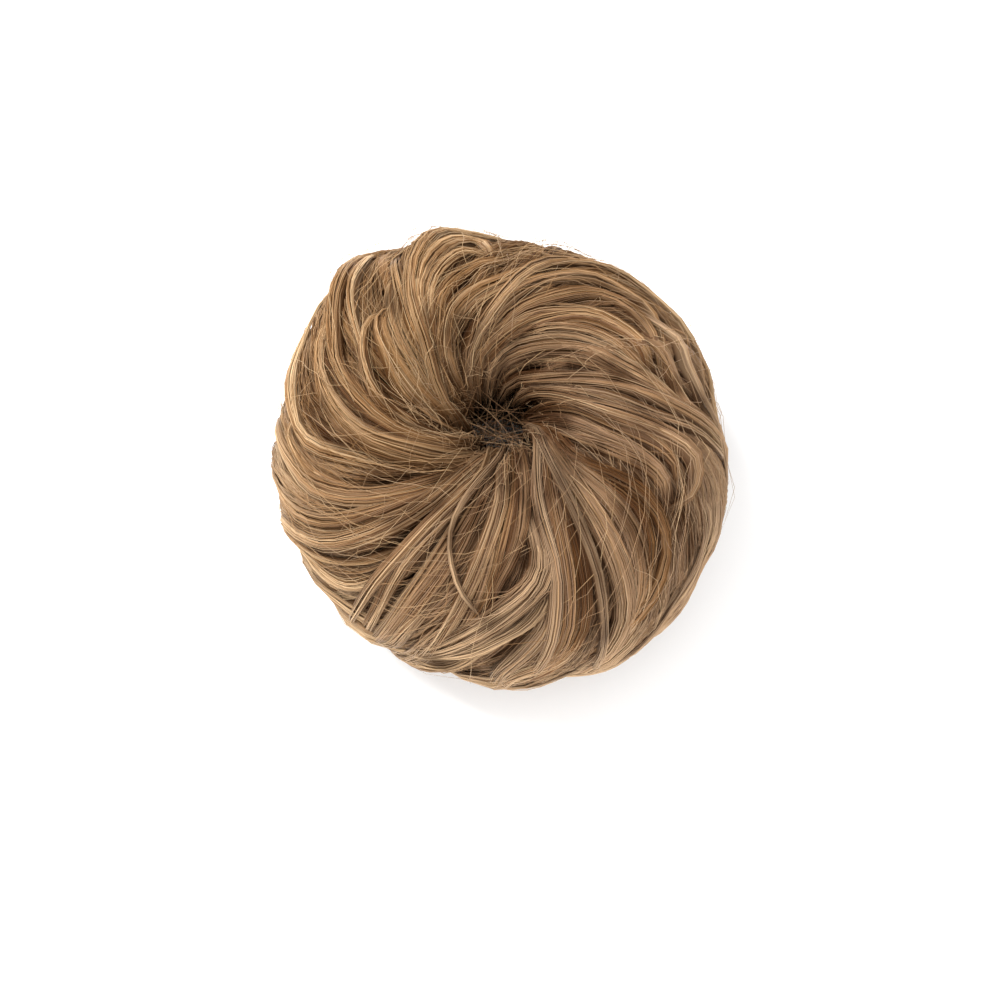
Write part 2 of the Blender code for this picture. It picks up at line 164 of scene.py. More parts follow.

# Loose locks laid over the imported ones: width and lift in millimetres, tone from 0, dark, to 1, light, which
# holds each lock's own colour together with painted light and shade, and the path of each one's middle as
# (heading, roll) from its root to its tip
LaidLock = namedtuple("LaidLock", "width lift tone path")
LAID_LOCKS = tuple(map(LaidLock._make, (
    (5.5, 2.0, 0.62, ((239, 68), (218, 82), (203, 106), (190, 134), (180, 135), (168, 150),
        (157, 164), (149, 166), (143, 168))),
    (6.0, 1.8, 0.54, ((247, 35), (215, 71), (201, 91), (185, 107), (171, 122), (162, 128), (151, 139),
        (148, 128))),
    (6.0, 1.4, 0.20, ((234, 36), (207, 67), (188, 84), (174, 103), (161, 120), (149, 139), (141, 136),
        (131, 156), (125, 158), (121, 160))),
    (3.0, 2.6, 0.28, ((207, 68), (187, 84), (174, 101), (161, 116), (150, 124), (139, 134),
        (128, 157), (122, 159), (121, 161))),
    (4.0, 2.6, 0.42, ((224, 41), (198, 62), (184, 80), (169, 92), (158, 100), (149, 103), (142, 103),
        (137, 99))),
    (2.6, 2.2, 0.61, ((193, 70), (177, 84), (163, 95), (156, 102), (150, 111), (144, 120), (137, 131),
        (130, 145))),
    (6.5, 2.2, 0.52, ((202, 30), (182, 51), (168, 70), (156, 84), (148, 96), (140, 103), (135, 96))),
    (6.0, 1.6, 0.53, ((179, 4), (177, 48), (159, 64), (148, 81), (140, 96), (134, 107), (128, 117))),
    (4.5, 2.2, 0.43, ((195, 32), (160, 44), (147, 64), (139, 83), (131, 100), (125, 122), (122, 137))),
    (6.0, 3.0, 0.62, ((193, 34), (152, 52), (138, 72), (130, 92), (124, 108), (118, 119), (112, 128),
        (104, 151), (98, 156), (93, 156))),
    (6.5, 2.2, 0.60, ((174, 38), (144, 60), (134, 77), (126, 96), (119, 108), (111, 118), (103, 133),
        (96, 145), (92, 117))),
    (5.5, 1.4, 0.50, ((155, 31), (139, 56), (131, 75), (124, 90), (116, 102), (107, 114), (99, 128),
        (93, 119))),
    (5.5, 1.6, 0.37, ((159, 35), (137, 55), (128, 72), (120, 84), (109, 96), (98, 108), (91, 110),
        (85, 116))),
    (6.0, 2.4, 0.48, ((146, 37), (132, 58), (121, 70), (108, 81), (95, 90), (85, 95), (76, 106))),
    (4.0, 1.8, 0.45, ((137, 43), (128, 55), (116, 66), (102, 77), (91, 84), (82, 90), (72, 108))),
    (5.0, 1.0, 0.23, ((129, 37), (113, 52), (95, 70), (88, 83), (79, 99), (74, 123), (72, 141))),
    (5.0, 2.6, 0.60, ((127, 40), (110, 54), (92, 72), (85, 83), (76, 104), (66, 128), (57, 135),
        (50, 149), (42, 151), (30, 153))),
    (5.0, 2.2, 0.55, ((121, 44), (101, 59), (87, 75), (74, 97), (62, 107), (51, 124), (39, 126),
        (30, 127), (18, 121))),
    (5.0, 1.8, 0.35, ((121, 35), (95, 49), (82, 69), (66, 83), (56, 97), (50, 112), (40, 113),
        (31, 119), (18, 114), (9, 116))),
    (8.0, 2.2, 0.38, ((116, 38), (93, 49), (76, 62), (62, 75), (49, 86), (37, 95), (27, 103),
        (16, 106), (8, 108))),
    (5.0, 1.6, 0.53, ((118, 34), (93, 43), (73, 58), (58, 71), (43, 80), (32, 90), (20, 95),
        (11, 103), (5, 112))),
    (7.0, 2.6, 0.56, ((94, 36), (70, 48), (50, 60), (36, 72), (21, 83), (12, 93), (6, 107), (0, 118),
        (-3, 131))),
    (4.0, 1.2, 0.51, ((89, 25), (66, 39), (46, 50), (26, 66), (14, 80), (7, 94), (4, 108))),
    (5.0, 3.4, 0.47, ((77, 25), (36, 39), (16, 59), (8, 79), (3, 96), (-2, 113), (-4, 131), (-5, 149),
        (-7, 161))),
    (4.5, 2.6, 0.44, ((48, 27), (16, 47), (1, 73), (-4, 91), (-8, 108), (-7, 133), (-10, 139),
        (-9, 163))),
    (5.0, 3.6, 0.43, ((45, 19), (8, 48), (-7, 70), (-11, 86), (-13, 103), (-15, 119), (-16, 130),
        (-18, 137), (-24, 139), (-31, 130), (-35, 126))),
    (5.0, 2.4, 0.27, ((8, 25), (-7, 59), (-14, 77), (-16, 96), (-18, 112), (-20, 123), (-24, 127),
        (-27, 127))),
    (5.0, 2.8, 0.39, ((57, -6), (-3, 17), (-15, 52), (-22, 75), (-22, 93), (-24, 106), (-26, 117),
        (-30, 126))),
    (5.0, 1.8, 0.40, ((341, 19), (336, 62), (334, 81), (334, 95), (334, 108), (331, 119), (328, 126))),
    (4.0, 3.4, 0.95, ((49, 109), (42, 116), (33, 120), (24, 127), (14, 133), (7, 142), (0, 148))),
    (6.0, 2.0, 0.33, ((43, 147), (36, 161), (27, 163), (17, 165), (11, 167), (3, 169))),
    (5.0, 1.8, 0.42, ((35, 111), (23, 111), (15, 120), (7, 123), (-1, 126), (-4, 139))),
    (5.0, 2.0, 0.64, ((341, 133), (337, 154), (334, 168), (326, 170), (319, 172), (312, 174),
        (307, 176))),
    (5.0, 2.8, 0.95, ((345, 141), (342, 155), (337, 168), (331, 180), (323, 182), (316, 184),
        (308, 186), (306, 188))),
    (4.5, 2.4, 0.51, ((352, 175), (345, 177), (339, 179), (331, 180), (322, 181), (314, 182),
        (308, 182), (301, 184))),
    (5.0, 2.0, 0.85, ((316, 182), (308, 184), (304, 186), (297, 188), (292, 190), (285, 192))),
    (5.0, 1.6, 0.64, ((300, 158), (296, 175), (291, 185), (283, 187), (276, 189), (271, 191))),
    (3.2, 3.4, 0.92, ((338, 33), (312, 54), (306, 66), (303, 81), (300, 99), (299, 113), (297, 125),
        (295, 140), (294, 167), (292, 181))),
    (6.5, 3.0, 0.47, ((336, 34), (322, 46), (312, 63), (308, 81), (307, 97), (306, 112), (304, 126),
        (303, 140), (301, 151), (298, 161), (294, 174))),
    (6.0, 2.2, 0.44, ((336, 37), (325, 47), (315, 60), (315, 83), (315, 97), (314, 110), (311, 121),
        (308, 134), (305, 145), (301, 154))),
    (5.0, 2.6, 0.10, ((335, 42), (324, 52), (316, 65), (322, 83), (326, 99), (325, 113), (323, 126),
        (320, 136), (315, 138), (309, 144))),
    (5.0, 1.8, 0.04, ((336, 42), (324, 56), (318, 71), (321, 96), (321, 111), (318, 121), (312, 130),
        (307, 139))),
    (3.4, 3.4, 0.73, ((335, 33), (302, 55), (292, 67), (288, 84), (288, 99), (288, 109), (286, 121),
        (284, 132), (283, 144), (280, 158))),
    (4.5, 2.0, 0.23, ((330, 40), (300, 69), (295, 86), (292, 102), (290, 115), (288, 129), (286, 143),
        (282, 157))),
    (4.0, 1.2, 0.05, ((343, 23), (315, 48), (306, 61), (299, 86), (296, 104), (294, 117), (292, 131),
        (289, 144), (285, 156), (280, 167))),
    (7.0, 3.0, 0.66, ((292, 54), (285, 80), (286, 96), (285, 108), (280, 119), (274, 126), (269, 134),
        (264, 145), (260, 152))),
    (4.0, 2.4, 0.86, ((287, 99), (285, 114), (282, 128), (276, 140), (270, 145), (266, 153),
        (261, 159))),
    (4.0, 2.0, 0.82, ((286, 114), (284, 128), (281, 142), (276, 157), (271, 173), (270, 180))),
    (5.0, 1.6, 0.53, ((294, 121), (291, 134), (287, 149), (281, 162), (275, 172), (272, 181))),
    (4.0, 1.8, 0.19, ((289, 40), (280, 69), (275, 86), (271, 104), (269, 117), (267, 129), (262, 143))),
    (4.0, 2.2, 0.39, ((297, 33), (285, 71), (280, 88), (274, 105), (269, 118), (268, 129))),
    (1.8, 4.2, 0.89, ((272, 47), (268, 51), (257, 68), (252, 86), (253, 99), (257, 112), (261, 122),
        (266, 134))),
    (5.0, 2.4, 0.49, ((274, 31), (274, 68), (268, 90), (264, 110), (261, 126), (257, 148), (254, 170))),
    (3.6, 1.8, 0.39, ((284, 30), (271, 73), (269, 94), (267, 110), (264, 127), (261, 145), (258, 158))),
    (5.0, 2.0, 0.49, ((267, 42), (260, 67), (254, 91), (251, 111), (247, 131), (245, 149), (242, 174))),
    (3.6, 1.4, 0.41, ((271, 44), (262, 74), (258, 97), (254, 117), (250, 134), (247, 154), (245, 176))),
    (4.0, 3.2, 0.48, ((256, 26), (262, 51), (249, 78), (243, 96), (240, 114), (237, 133), (235, 160),
        (234, 175))),
    (5.0, 2.2, 0.55, ((261, 36), (255, 69), (247, 90), (243, 107), (241, 124), (240, 149), (239, 166))),
    (5.5, 2.8, 0.53, ((267, 26), (248, 57), (242, 80), (236, 97), (231, 112), (225, 128), (220, 143),
        (213, 156), (206, 169), (202, 171), (203, 173))),
    (6.0, 2.0, 0.46, ((257, 33), (242, 73), (231, 91), (224, 112), (216, 135), (209, 150), (203, 161),
        (200, 163))),
    (6.0, 2.4, 0.56, ((260, 41), (237, 72), (227, 91), (219, 108), (210, 123), (201, 139), (193, 146),
        (187, 158), (182, 158), (181, 160))),
    (4.0, 1.4, 0.49, ((231, 85), (219, 104), (207, 121), (198, 134), (192, 141), (185, 148),
        (183, 136))),
    (5.0, 1.6, 0.35, ((245, 95), (241, 110), (236, 123), (229, 142), (223, 155), (217, 164),
        (214, 166))),
    (5.0, 2.0, 0.59, ((243, 108), (240, 125), (235, 142), (230, 157), (224, 166), (218, 173),
        (213, 173))),
    (4.5, 1.2, 0.89, ((238, 141), (234, 158), (226, 182), (221, 184), (217, 186), (213, 188))),
    (4.0, 1.4, 0.58, ((258, 115), (253, 131), (249, 149), (246, 169), (243, 182))),
    (5.0, 1.8, 0.60, ((266, 118), (260, 136), (254, 154), (250, 179), (247, 184))),
    (4.0, 1.2, 0.68, ((272, 142), (267, 154), (262, 166), (256, 179), (251, 181))),
)))

# Worked out from the sizes above
SECTION_RADIUS = (RIM_RADIUS + OPENING_RADIUS) / 2
SECTION_HALF_WIDTH = (RIM_RADIUS - OPENING_RADIUS) / 2
THROAT_WALL_RADIUS = OPENING_RADIUS + THROAT_LOCK_DEPTH + SEAT_GAP
BAND_RADIUS = THROAT_WALL_RADIUS - SEAT_GAP - BAND_CORD_RADIUS
BAND_TOP = BAND_LIFT + 2 * BAND_CORD_RADIUS
TAIL_STACK_DEPTH = UPPER_TAIL_DEPTH + SIDE_NECK_DEPTH + 2 * SEAT_GAP
ROOT_DROP = (WAIST_HEIGHT - BAND_TOP - SEAT_GAP) / WAIST_HEIGHT
ROOT_ROLL = -math.degrees(math.asin(ROOT_DROP ** (1 / FOOT_FULLNESS)))
ROLL_STEP = (SIDE_TIP_ROLL - ROOT_ROLL) / SIDE_TIP_SECTION
UPPER_TIP_ROLL = ROOT_ROLL + ROLL_STEP * UPPER_TIP_SECTION
SIDE_ROOT_ROLL = ROOT_ROLL + ROLL_STEP * SIDE_ROOT_SECTION

# The opening's axis, from the frame
BAND_LOW, BAND_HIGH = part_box("elastic_band")
AXIS = (BAND_LOW + BAND_HIGH) / 2

# The photo's frame: its width in pixels, where the middle of the opening's mouth lies in it, and its scale
PHOTO_PIXELS = 1000
MOUTH_PIXEL = (497, 415)
MOUTH_HEIGHT = 0.037
PIXELS_PER_METRE = 3970
VIEW_ELEVATION = 70.0

SEED = 20261


# Places in the hair


def ease(value, start, end):
    """0 before start, 1 after end, and smooth between them."""
    share = np.clip((value - start) / (end - start), 0.0, 1.0)
    return share * share * (3 - 2 * share)


def through(x, knots):
    """A smooth curve through knots, a rising list of (x, y), at every x of an array."""
    knot_x, knot_y = np.array(knots, float).T
    slope = np.empty_like(knot_y)
    slope[1:-1] = (knot_y[2:] - knot_y[:-2]) / (knot_x[2:] - knot_x[:-2])
    slope[0] = (knot_y[1] - knot_y[0]) / (knot_x[1] - knot_x[0])
    slope[-1] = (knot_y[-1] - knot_y[-2]) / (knot_x[-1] - knot_x[-2])
    i = np.clip(np.searchsorted(knot_x, x, side="right") - 1, 0, len(knot_x) - 2)
    width = knot_x[i + 1] - knot_x[i]
    t = (x - knot_x[i]) / width
    return (
        (2 * t**3 - 3 * t**2 + 1) * knot_y[i]
        + (t**3 - 2 * t**2 + t) * width * slope[i]
        + (3 * t**2 - 2 * t**3) * knot_y[i + 1]
        + (t**3 - t**2) * width * slope[i + 1]
    )


def outline_share(heading):
    knots = [(row.heading + 360 * lap, row.share) for lap in (-1, 0, 1) for row in OUTLINE]
    return through(heading % 360, knots)


def section_point(roll, inset):
    """Radius and height of a point of the ring's section before the outline is applied."""
    turn = np.radians(roll)
    radius = SECTION_RADIUS - (SECTION_HALF_WIDTH - inset) * np.cos(turn)
    rise = np.sin(turn)
    upper = WAIST_HEIGHT + (CROWN_HEIGHT - WAIST_HEIGHT - inset) * rise
    lower = WAIST_HEIGHT - (WAIST_HEIGHT - inset) * np.abs(rise) ** FOOT_FULLNESS
    return radius, np.where(rise >= 0, upper, lower)


def placed(radius, height, heading):
    """Points of the model, one row each of x, y and z, stretched to the outline past the throat's wall."""
    past_wall = np.maximum(0.0, (radius - THROAT_WALL_RADIUS) / (RIM_RADIUS - THROAT_WALL_RADIUS))
    radius = radius + (outline_share(heading) - 1) * RIM_RADIUS * past_wall
    turn = np.radians(heading)
    return np.stack((AXIS.x + radius * np.cos(turn), AXIS.y + radius * np.sin(turn), height), axis=-1)


def hair_point(roll, heading, inset):
    radius, height = section_point(roll, inset)
    return placed(radius, height, heading)


def swell(roll, heading):
    """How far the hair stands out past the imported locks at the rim."""
    knots = [(row.heading + 360 * lap, row.rise / 1000) for lap in (-1, 0, 1) for row in SWELLS]
    return through(heading % 360, knots) * ease(roll, 105.0, 150.0) * (1 - ease(roll, 205.0, 245.0))


def side_emerging(roll):
    return ease(roll, UPPER_TIP_ROLL, UPPER_TIP_ROLL + EMERGING_SPAN)


def under_inset(roll):
    depth = THROAT_LOCK_DEPTH + SEAT_GAP
    depth = depth + (UPPER_LOCK_DEPTH - THROAT_LOCK_DEPTH) * ease(roll, *THROAT_TO_CROWN)
    depth = depth + (TAIL_STACK_DEPTH - depth) * ease(roll, *CROWN_TO_TAIL)
    return depth + (SIDE_LOCK_DEPTH + SEAT_GAP - depth) * side_emerging(roll)


def upper_bottom_inset(roll):
    on_sides = ease(roll, SIDE_ROOT_ROLL - ROLL_STEP, SIDE_ROOT_ROLL + ROLL_STEP)
    on_under = under_inset(roll) - SEAT_GAP
    return on_under + (UPPER_TAIL_DEPTH - on_under) * on_sides


def side_bottom_inset(roll):
    return under_inset(roll) - SEAT_GAP


def side_top_inset(roll):
    return (upper_bottom_inset(roll) + SEAT_GAP) * (1 - side_emerging(roll))


def upper_edge(row, roll):
    """Heading of an upper lock's tucked edge."""
    knots = [
        (-90, row.throat + ROOT_SHARE * (row.throat - row.crown)),
        (THROAT_ROLL, row.throat),
        (CROWN_ROLL, row.crown),
        (SHOULDER_ROLL, row.crown + SHOULDER_SHARE * (row.rim - row.crown)),
        (RIM_ROLL, row.rim),
        (UPPER_TIP_ROLL, row.rim - TIP_TURN),
    ]
    return through(roll, knots)


def side_edge(row, roll):
    share = (roll - SIDE_ROOT_ROLL) / (SIDE_TIP_ROLL - SIDE_ROOT_ROLL)
    return row.root + (row.tip - row.root) * share


# What a lock is at each roll: the headings of its edges, the depth of its underside, the usual height of a
# lock there and its own, and the share of its width that is left towards the tip
LockForm = namedtuple("LockForm", "low high bottom room height taper")


def lock_edges(rows, index, edge, roll):
    after = rows[(index + 1) % len(rows)]
    whole_turn = 360 if index + 1 == len(rows) else 0
    return edge(rows[index], roll), edge(after, roll) + whole_turn


def upper_form(index, roll):
    row = UPPER_LOCKS[index]
    low, high = lock_edges(UPPER_LOCKS, index, upper_edge, roll)
    bottom = upper_bottom_inset(roll)
    risen = 1 + (row.rise - 1) * ease(roll, *LOCK_RISING)
    puffed = ease(roll, *PUFF_RISING) * (1 - ease(roll, *PUFF_FALLING))
    tip = ease(roll, UPPER_TIP_ROLL - TIP_SPAN, UPPER_TIP_ROLL)
    height = (bottom * risen + row.puff * RIM_RADIUS * puffed) * (1 - UPPER_TIP_THINNING * tip)
    return LockForm(low, high, bottom, bottom, height, 1 - UPPER_TIP_NARROWING * tip)


def side_form(index, roll):
    row = SIDE_LOCKS[index]
    low, high = lock_edges(SIDE_LOCKS, index, side_edge, roll)
    bottom = side_bottom_inset(roll)
    room = bottom - side_top_inset(roll)
    height = room * (1 + (row.rise - 1) * side_emerging(roll))
    tip = ease(roll, SIDE_TIP_ROLL - TIP_SPAN, SIDE_TIP_ROLL)
    return LockForm(low, high, bottom, room, height, 1 - SIDE_TIP_NARROWING * tip)


def dome(across):
    """The rounded top of a lock: 0 at both edges, and fuller towards the raised edge."""
    return np.sin(np.pi * np.clip(across, 0, 1) ** 1.35) ** 0.5


def top_place(form, roll, across):
    """Heading and height over the underside of a point on a lock's top. across is 0 at the tucked edge
    and 1 at the raised one."""
    radius = section_point(roll, form.bottom / 2)[0]
    tuck = TUCK_SHARE * form.room * form.taper
    lap = np.degrees(LAP_SLANT * tuck / radius)
    middle = (form.low + form.high) / 2 + lap
    heading = middle + (form.high - form.low) * (across - 0.5) * form.taper
    return heading, tuck + (form.height - tuck) * dome(across)


class Cover:
    """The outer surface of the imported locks: its inset, the smoother inset that laid locks follow, and how far
    it stands out of its surroundings."""

    first, step = -34.0, 2.0

    def __init__(self):
        rolls = np.arange(self.first, 270.0, self.step)
        headings = np.arange(0.0, 360.0, 1.0)
        inset = np.repeat(under_inset(rolls)[:, None], len(headings), axis=1)
        tiers = (
            (upper_form, len(UPPER_LOCKS), ROOT_ROLL, UPPER_TIP_ROLL),
            (side_form, len(SIDE_LOCKS), SIDE_ROOT_ROLL, SIDE_TIP_ROLL),
        )
        for form_of, count, low_roll, high_roll in tiers:
            held = ((rolls >= low_roll) & (rolls <= high_roll))[:, None]
            for index in range(count):
                form = LockForm(*(np.broadcast_to(part, rolls.shape)[:, None] for part in form_of(index, rolls)))
                middle = top_place(form, rolls[:, None], np.full((len(rolls), 1), 0.5))[0]
                for lap in (-360, 0, 360):
                    across = (headings[None, :] + lap - middle) / ((form.high - form.low) * form.taper) + 0.5
                    inside = held & (across >= 0) & (across <= 1)
                    up = top_place(form, rolls[:, None], across)[1]
                    inset = np.where(inside, np.minimum(inset, form.bottom - up), inset)
        packed = self.blurred(inset, 1)
        self.relief = self.blurred(inset, 14) - packed
        standing_out = swell(rolls[:, None], headings[None, :])
        self.inset = packed - standing_out
        self.laid = self.blurred(inset, 7) - standing_out

    @staticmethod
    def blurred(grid, passes):
        for _ in range(passes):
            grid = (np.roll(grid, 1, axis=1) + 2 * grid + np.roll(grid, -1, axis=1)) / 4
            padded = np.concatenate((grid[:1], grid, grid[-1:]))
            grid = (padded[:-2] + 2 * grid + padded[2:]) / 4
        return grid

    def read(self, grid, roll, heading):
        row = np.clip((roll - self.first) / self.step, 0, grid.shape[0] - 1.001)
        column = heading % 360
        r0, c0 = np.floor(row).astype(int), np.floor(column).astype(int) % 360
        c1 = (c0 + 1) % 360
        fr, fc = row - r0, column - np.floor(column)
        near = grid[r0, c0] * (1 - fc) + grid[r0, c1] * fc
        far = grid[r0 + 1, c0] * (1 - fc) + grid[r0 + 1, c1] * fc
        return near * (1 - fr) + far * fr


COVER = Cover()


# Making meshes


def deselect_all():
    for one in bpy.context.selected_objects:
        one.select_set(False)


def vertex_array(data):
    co = np.empty(len(data.vertices) * 3, np.float32)
    data.vertices.foreach_get("co", co)
    return co.reshape(-1, 3).astype(float)


def set_vertices(data, points):
    data.vertices.foreach_set("co", np.ascontiguousarray(points, np.float32).ravel())
    data.update()


def face_outwards(piece):
    deselect_all()
    piece.select_set(True)
    bpy.context.view_layer.objects.active = piece
    bpy.ops.object.mode_set(mode="EDIT")
    bpy.ops.mesh.select_all(action="SELECT")
    bpy.ops.mesh.normals_make_consistent(inside=False)
    bpy.ops.object.mode_set(mode="OBJECT")
    bpy.ops.object.shade_smooth()
    deselect_all()


def settle(piece, name, finish, replaced=()):
    """Names a finished piece, gives it its material and makes it ride on the part."""
    piece.name = name
    piece.data.name = name
    piece.data.materials.clear()
    piece.data.materials.append(finish)
    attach(piece, "root")
    if replaced:
        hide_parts(*replaced)
    return piece


def store_colour(data, tones, cools, shades):
    """Stores what the hair materials read: the tone, the share of ash and the painted shade at each point."""
    for label, values in (("tone", tones), ("cool", cools), ("shade", shades)):
        layer = data.attributes.new(label, "FLOAT", "POINT")
        values = np.broadcast_to(values, len(data.vertices))
        layer.data.foreach_set("value", np.clip(values, 0, 1).astype(np.float32))


def painted_hollow_shade(roll, heading):
    """How deep a point lies in the painted shade of one of the hollows between the locks: 0 away from them, 1
    inside.
    """
    deepest = np.zeros(np.broadcast(roll, heading).shape)
    for spot in SHADED_HOLLOWS:
        turn = (heading - spot.heading + 180) % 360 - 180
        off = np.hypot(turn / spot.half_turn, (roll - spot.roll) / spot.half_roll)
        deepest = np.maximum(deepest, 1 - ease(off, 0.35, 1.25))
    return deepest


def throat_shade(roll):
    """How much light reaches the hair at a roll: little in the throat, and all of it past the crown."""
    return 0.26 + 0.74 * ease(roll, 0.0, 108.0)


def rim_painted_light(roll):
    """How much lighter the hair is painted towards the rim: painted light where the thin hair at the rim is lit.
    """
    return 0.32 * ease(roll, 112.0, 172.0)


def lock_bed(form_at, first_roll, last_roll, sink, rng, tone):
    """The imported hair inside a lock: a sphere drawn out along the lock, with a pole at each end."""
    deselect_all()
    bpy.ops.mesh.primitive_uv_sphere_add(segments=BED_SEGMENTS, ring_count=BED_RINGS, radius=1)
    bed = bpy.context.object
    x, y, z = vertex_array(bed.data).T
    along = np.arccos(np.clip(z, -1, 1)) / np.pi
    around = np.arctan2(y, x)
    pole = np.abs(z) > 0.9999
    across = np.where(pole, 0.5, (1 - np.cos(around)) / 2)
    over = (around >= 0) & ~pole
    roll = first_roll + (last_roll - first_roll) * along
    form = form_at(roll)
    heading, up = top_place(form, roll, across)
    ridges = np.sin(across * BED_RIDGES * 2 * np.pi + rng.uniform(0, 6) + 3 * along)
    up = np.maximum(up - sink + ridges * BED_RIDGE_HEIGHT, 0.0002)
    straight = (form.low + form.high) / 2 + (form.high - form.low) * (across - 0.5) * form.taper
    heading = np.where(over, heading, straight)
    up = np.where(over, up, np.where(pole, form.height / 2, 0.0))
    set_vertices(bed.data, hair_point(roll, heading, form.bottom - up - swell(roll, heading)))
    # Painted shade: the bed is darker in the crevices, in the throat and in the hollows, and a little darker
    # than its strands so the gaps between them look deep; painted light makes it lighter towards the rim
    relief = COVER.read(COVER.relief, roll, heading)
    shades = throat_shade(roll) * np.clip(0.45 + relief / CREVICE_DEPTH, 0.1, 0.8)
    shades = shades * (1 - BED_HOLLOW_SHADE * painted_hollow_shade(roll, heading))
    store_colour(bed.data, tone - 0.08 + rim_painted_light(roll), ash_and_shade(heading), shades)
    face_outwards(bed)
    return bed


# Strands on their way to a mesh: the middle line of each as points of x, y and z, the radius, tone and painted
# shade at each point, and one share of ash for each strand
Strands = namedtuple("Strands", "paths radii tones cools shades")


def strand_mesh(name, strands):
    """One joined mesh of closed three-sided tubes."""
    paths, radii = strands.paths, strands.radii
    count, points, _ = paths.shape
    tangent = np.gradient(paths, axis=1)
    tangent /= np.linalg.norm(tangent, axis=2, keepdims=True) + 1e-12
    out = paths - np.array((AXIS.x, AXIS.y, WAIST_HEIGHT))
    flat = np.linalg.norm(out[..., :2], axis=2, keepdims=True) + 1e-9
    out[..., :2] -= out[..., :2] / flat * SECTION_RADIUS
    side = np.cross(tangent, out)
    side /= np.linalg.norm(side, axis=2, keepdims=True) + 1e-12
    normal = np.cross(side, tangent)
    corners = []
    for corner in range(3):
        angle = 2 * np.pi * corner / 3
        spoke = side * math.sin(angle) + normal * math.cos(angle)
        corners.append(paths + spoke * radii[..., None])
    verts = np.stack(corners, axis=2).reshape(-1, 3)

    base = (np.arange(count) * points * 3)[:, None, None]
    ring = (np.arange(points - 1) * 3)[None, :, None]
    corner = np.arange(3)[None, None, :]
    here = base + ring + corner
    beside = base + ring + (corner + 1) % 3
    quads = np.stack((here, here + 3, beside + 3, beside), axis=-1).reshape(-1, 4)
    first = (np.arange(count) * points * 3)[:, None]
    caps = np.concatenate((first + np.array((0, 1, 2)), first + (points - 1) * 3 + np.array((2, 1, 0))))
    data = bpy.data.meshes.new(name)
    data.vertices.add(len(verts))
    data.vertices.foreach_set("co", verts.astype(np.float32).ravel())
    data.loops.add(quads.size + caps.size)
    data.loops.foreach_set("vertex_index", np.concatenate((quads.ravel(), caps.ravel())).astype(np.int32))
    starts = np.concatenate((np.arange(len(quads)) * 4, quads.size + np.arange(len(caps)) * 3))
    data.polygons.add(len(starts))
    data.polygons.foreach_set("loop_start", starts.astype(np.int32))
    data.update(calc_edges=True)
    data.validate()
    data.shade_smooth()
    each = points * 3
    tones, shades = np.repeat(strands.tones.ravel(), 3), np.repeat(strands.shades.ravel(), 3)
    store_colour(data, tones, np.repeat(strands.cools, each), shades)
    piece = bpy.data.objects.new(name, data)
    bpy.context.scene.collection.objects.link(piece)
    return piece


def waves(rng, count, t, cycles, size):
    """Smooth wandering per strand along t, from three sine waves of random phase."""
    total = np.zeros((count, t.shape[-1]))
    for share, speed in ((0.6, 1.0), (0.3, 2.1), (0.15, 4.3)):
        phase = rng.uniform(0, 2 * np.pi, (count, 1))
        pace = cycles * speed * rng.uniform(0.8, 1.2, (count, 1))
        total += share * np.sin(2 * np.pi * pace * t + phase)
    return total * size


def softened(values, passes):
    """The rows of an array, smoothed along t with their ends kept."""
    for _ in range(passes):
        inner = (values[:, :-2] + 2 * values[:, 1:-1] + values[:, 2:]) / 4
        values = np.concatenate((values[:, :1], inner, values[:, -1:]), axis=1)
    return values


def tapered(rng, count, t, radius, root, tip):
    """Radii that are full over most of a strand and run thin towards its two ends."""
    own = radius * rng.uniform(0.75, 1.25, (count, 1))
    swell = np.minimum(ease(t, 0.0, root) * 0.7 + 0.3, 1 - ease(t, 1 - tip, 1.0) * 0.8)
    return own * swell


def ash_and_shade(heading):
    """The share of ash in the colour, more at the lower right: partly the hair's own greyer strands, partly
    painted shade on the side away from the key light.
    """
    return 0.26 + 0.26 * np.cos(np.radians(heading + 30))


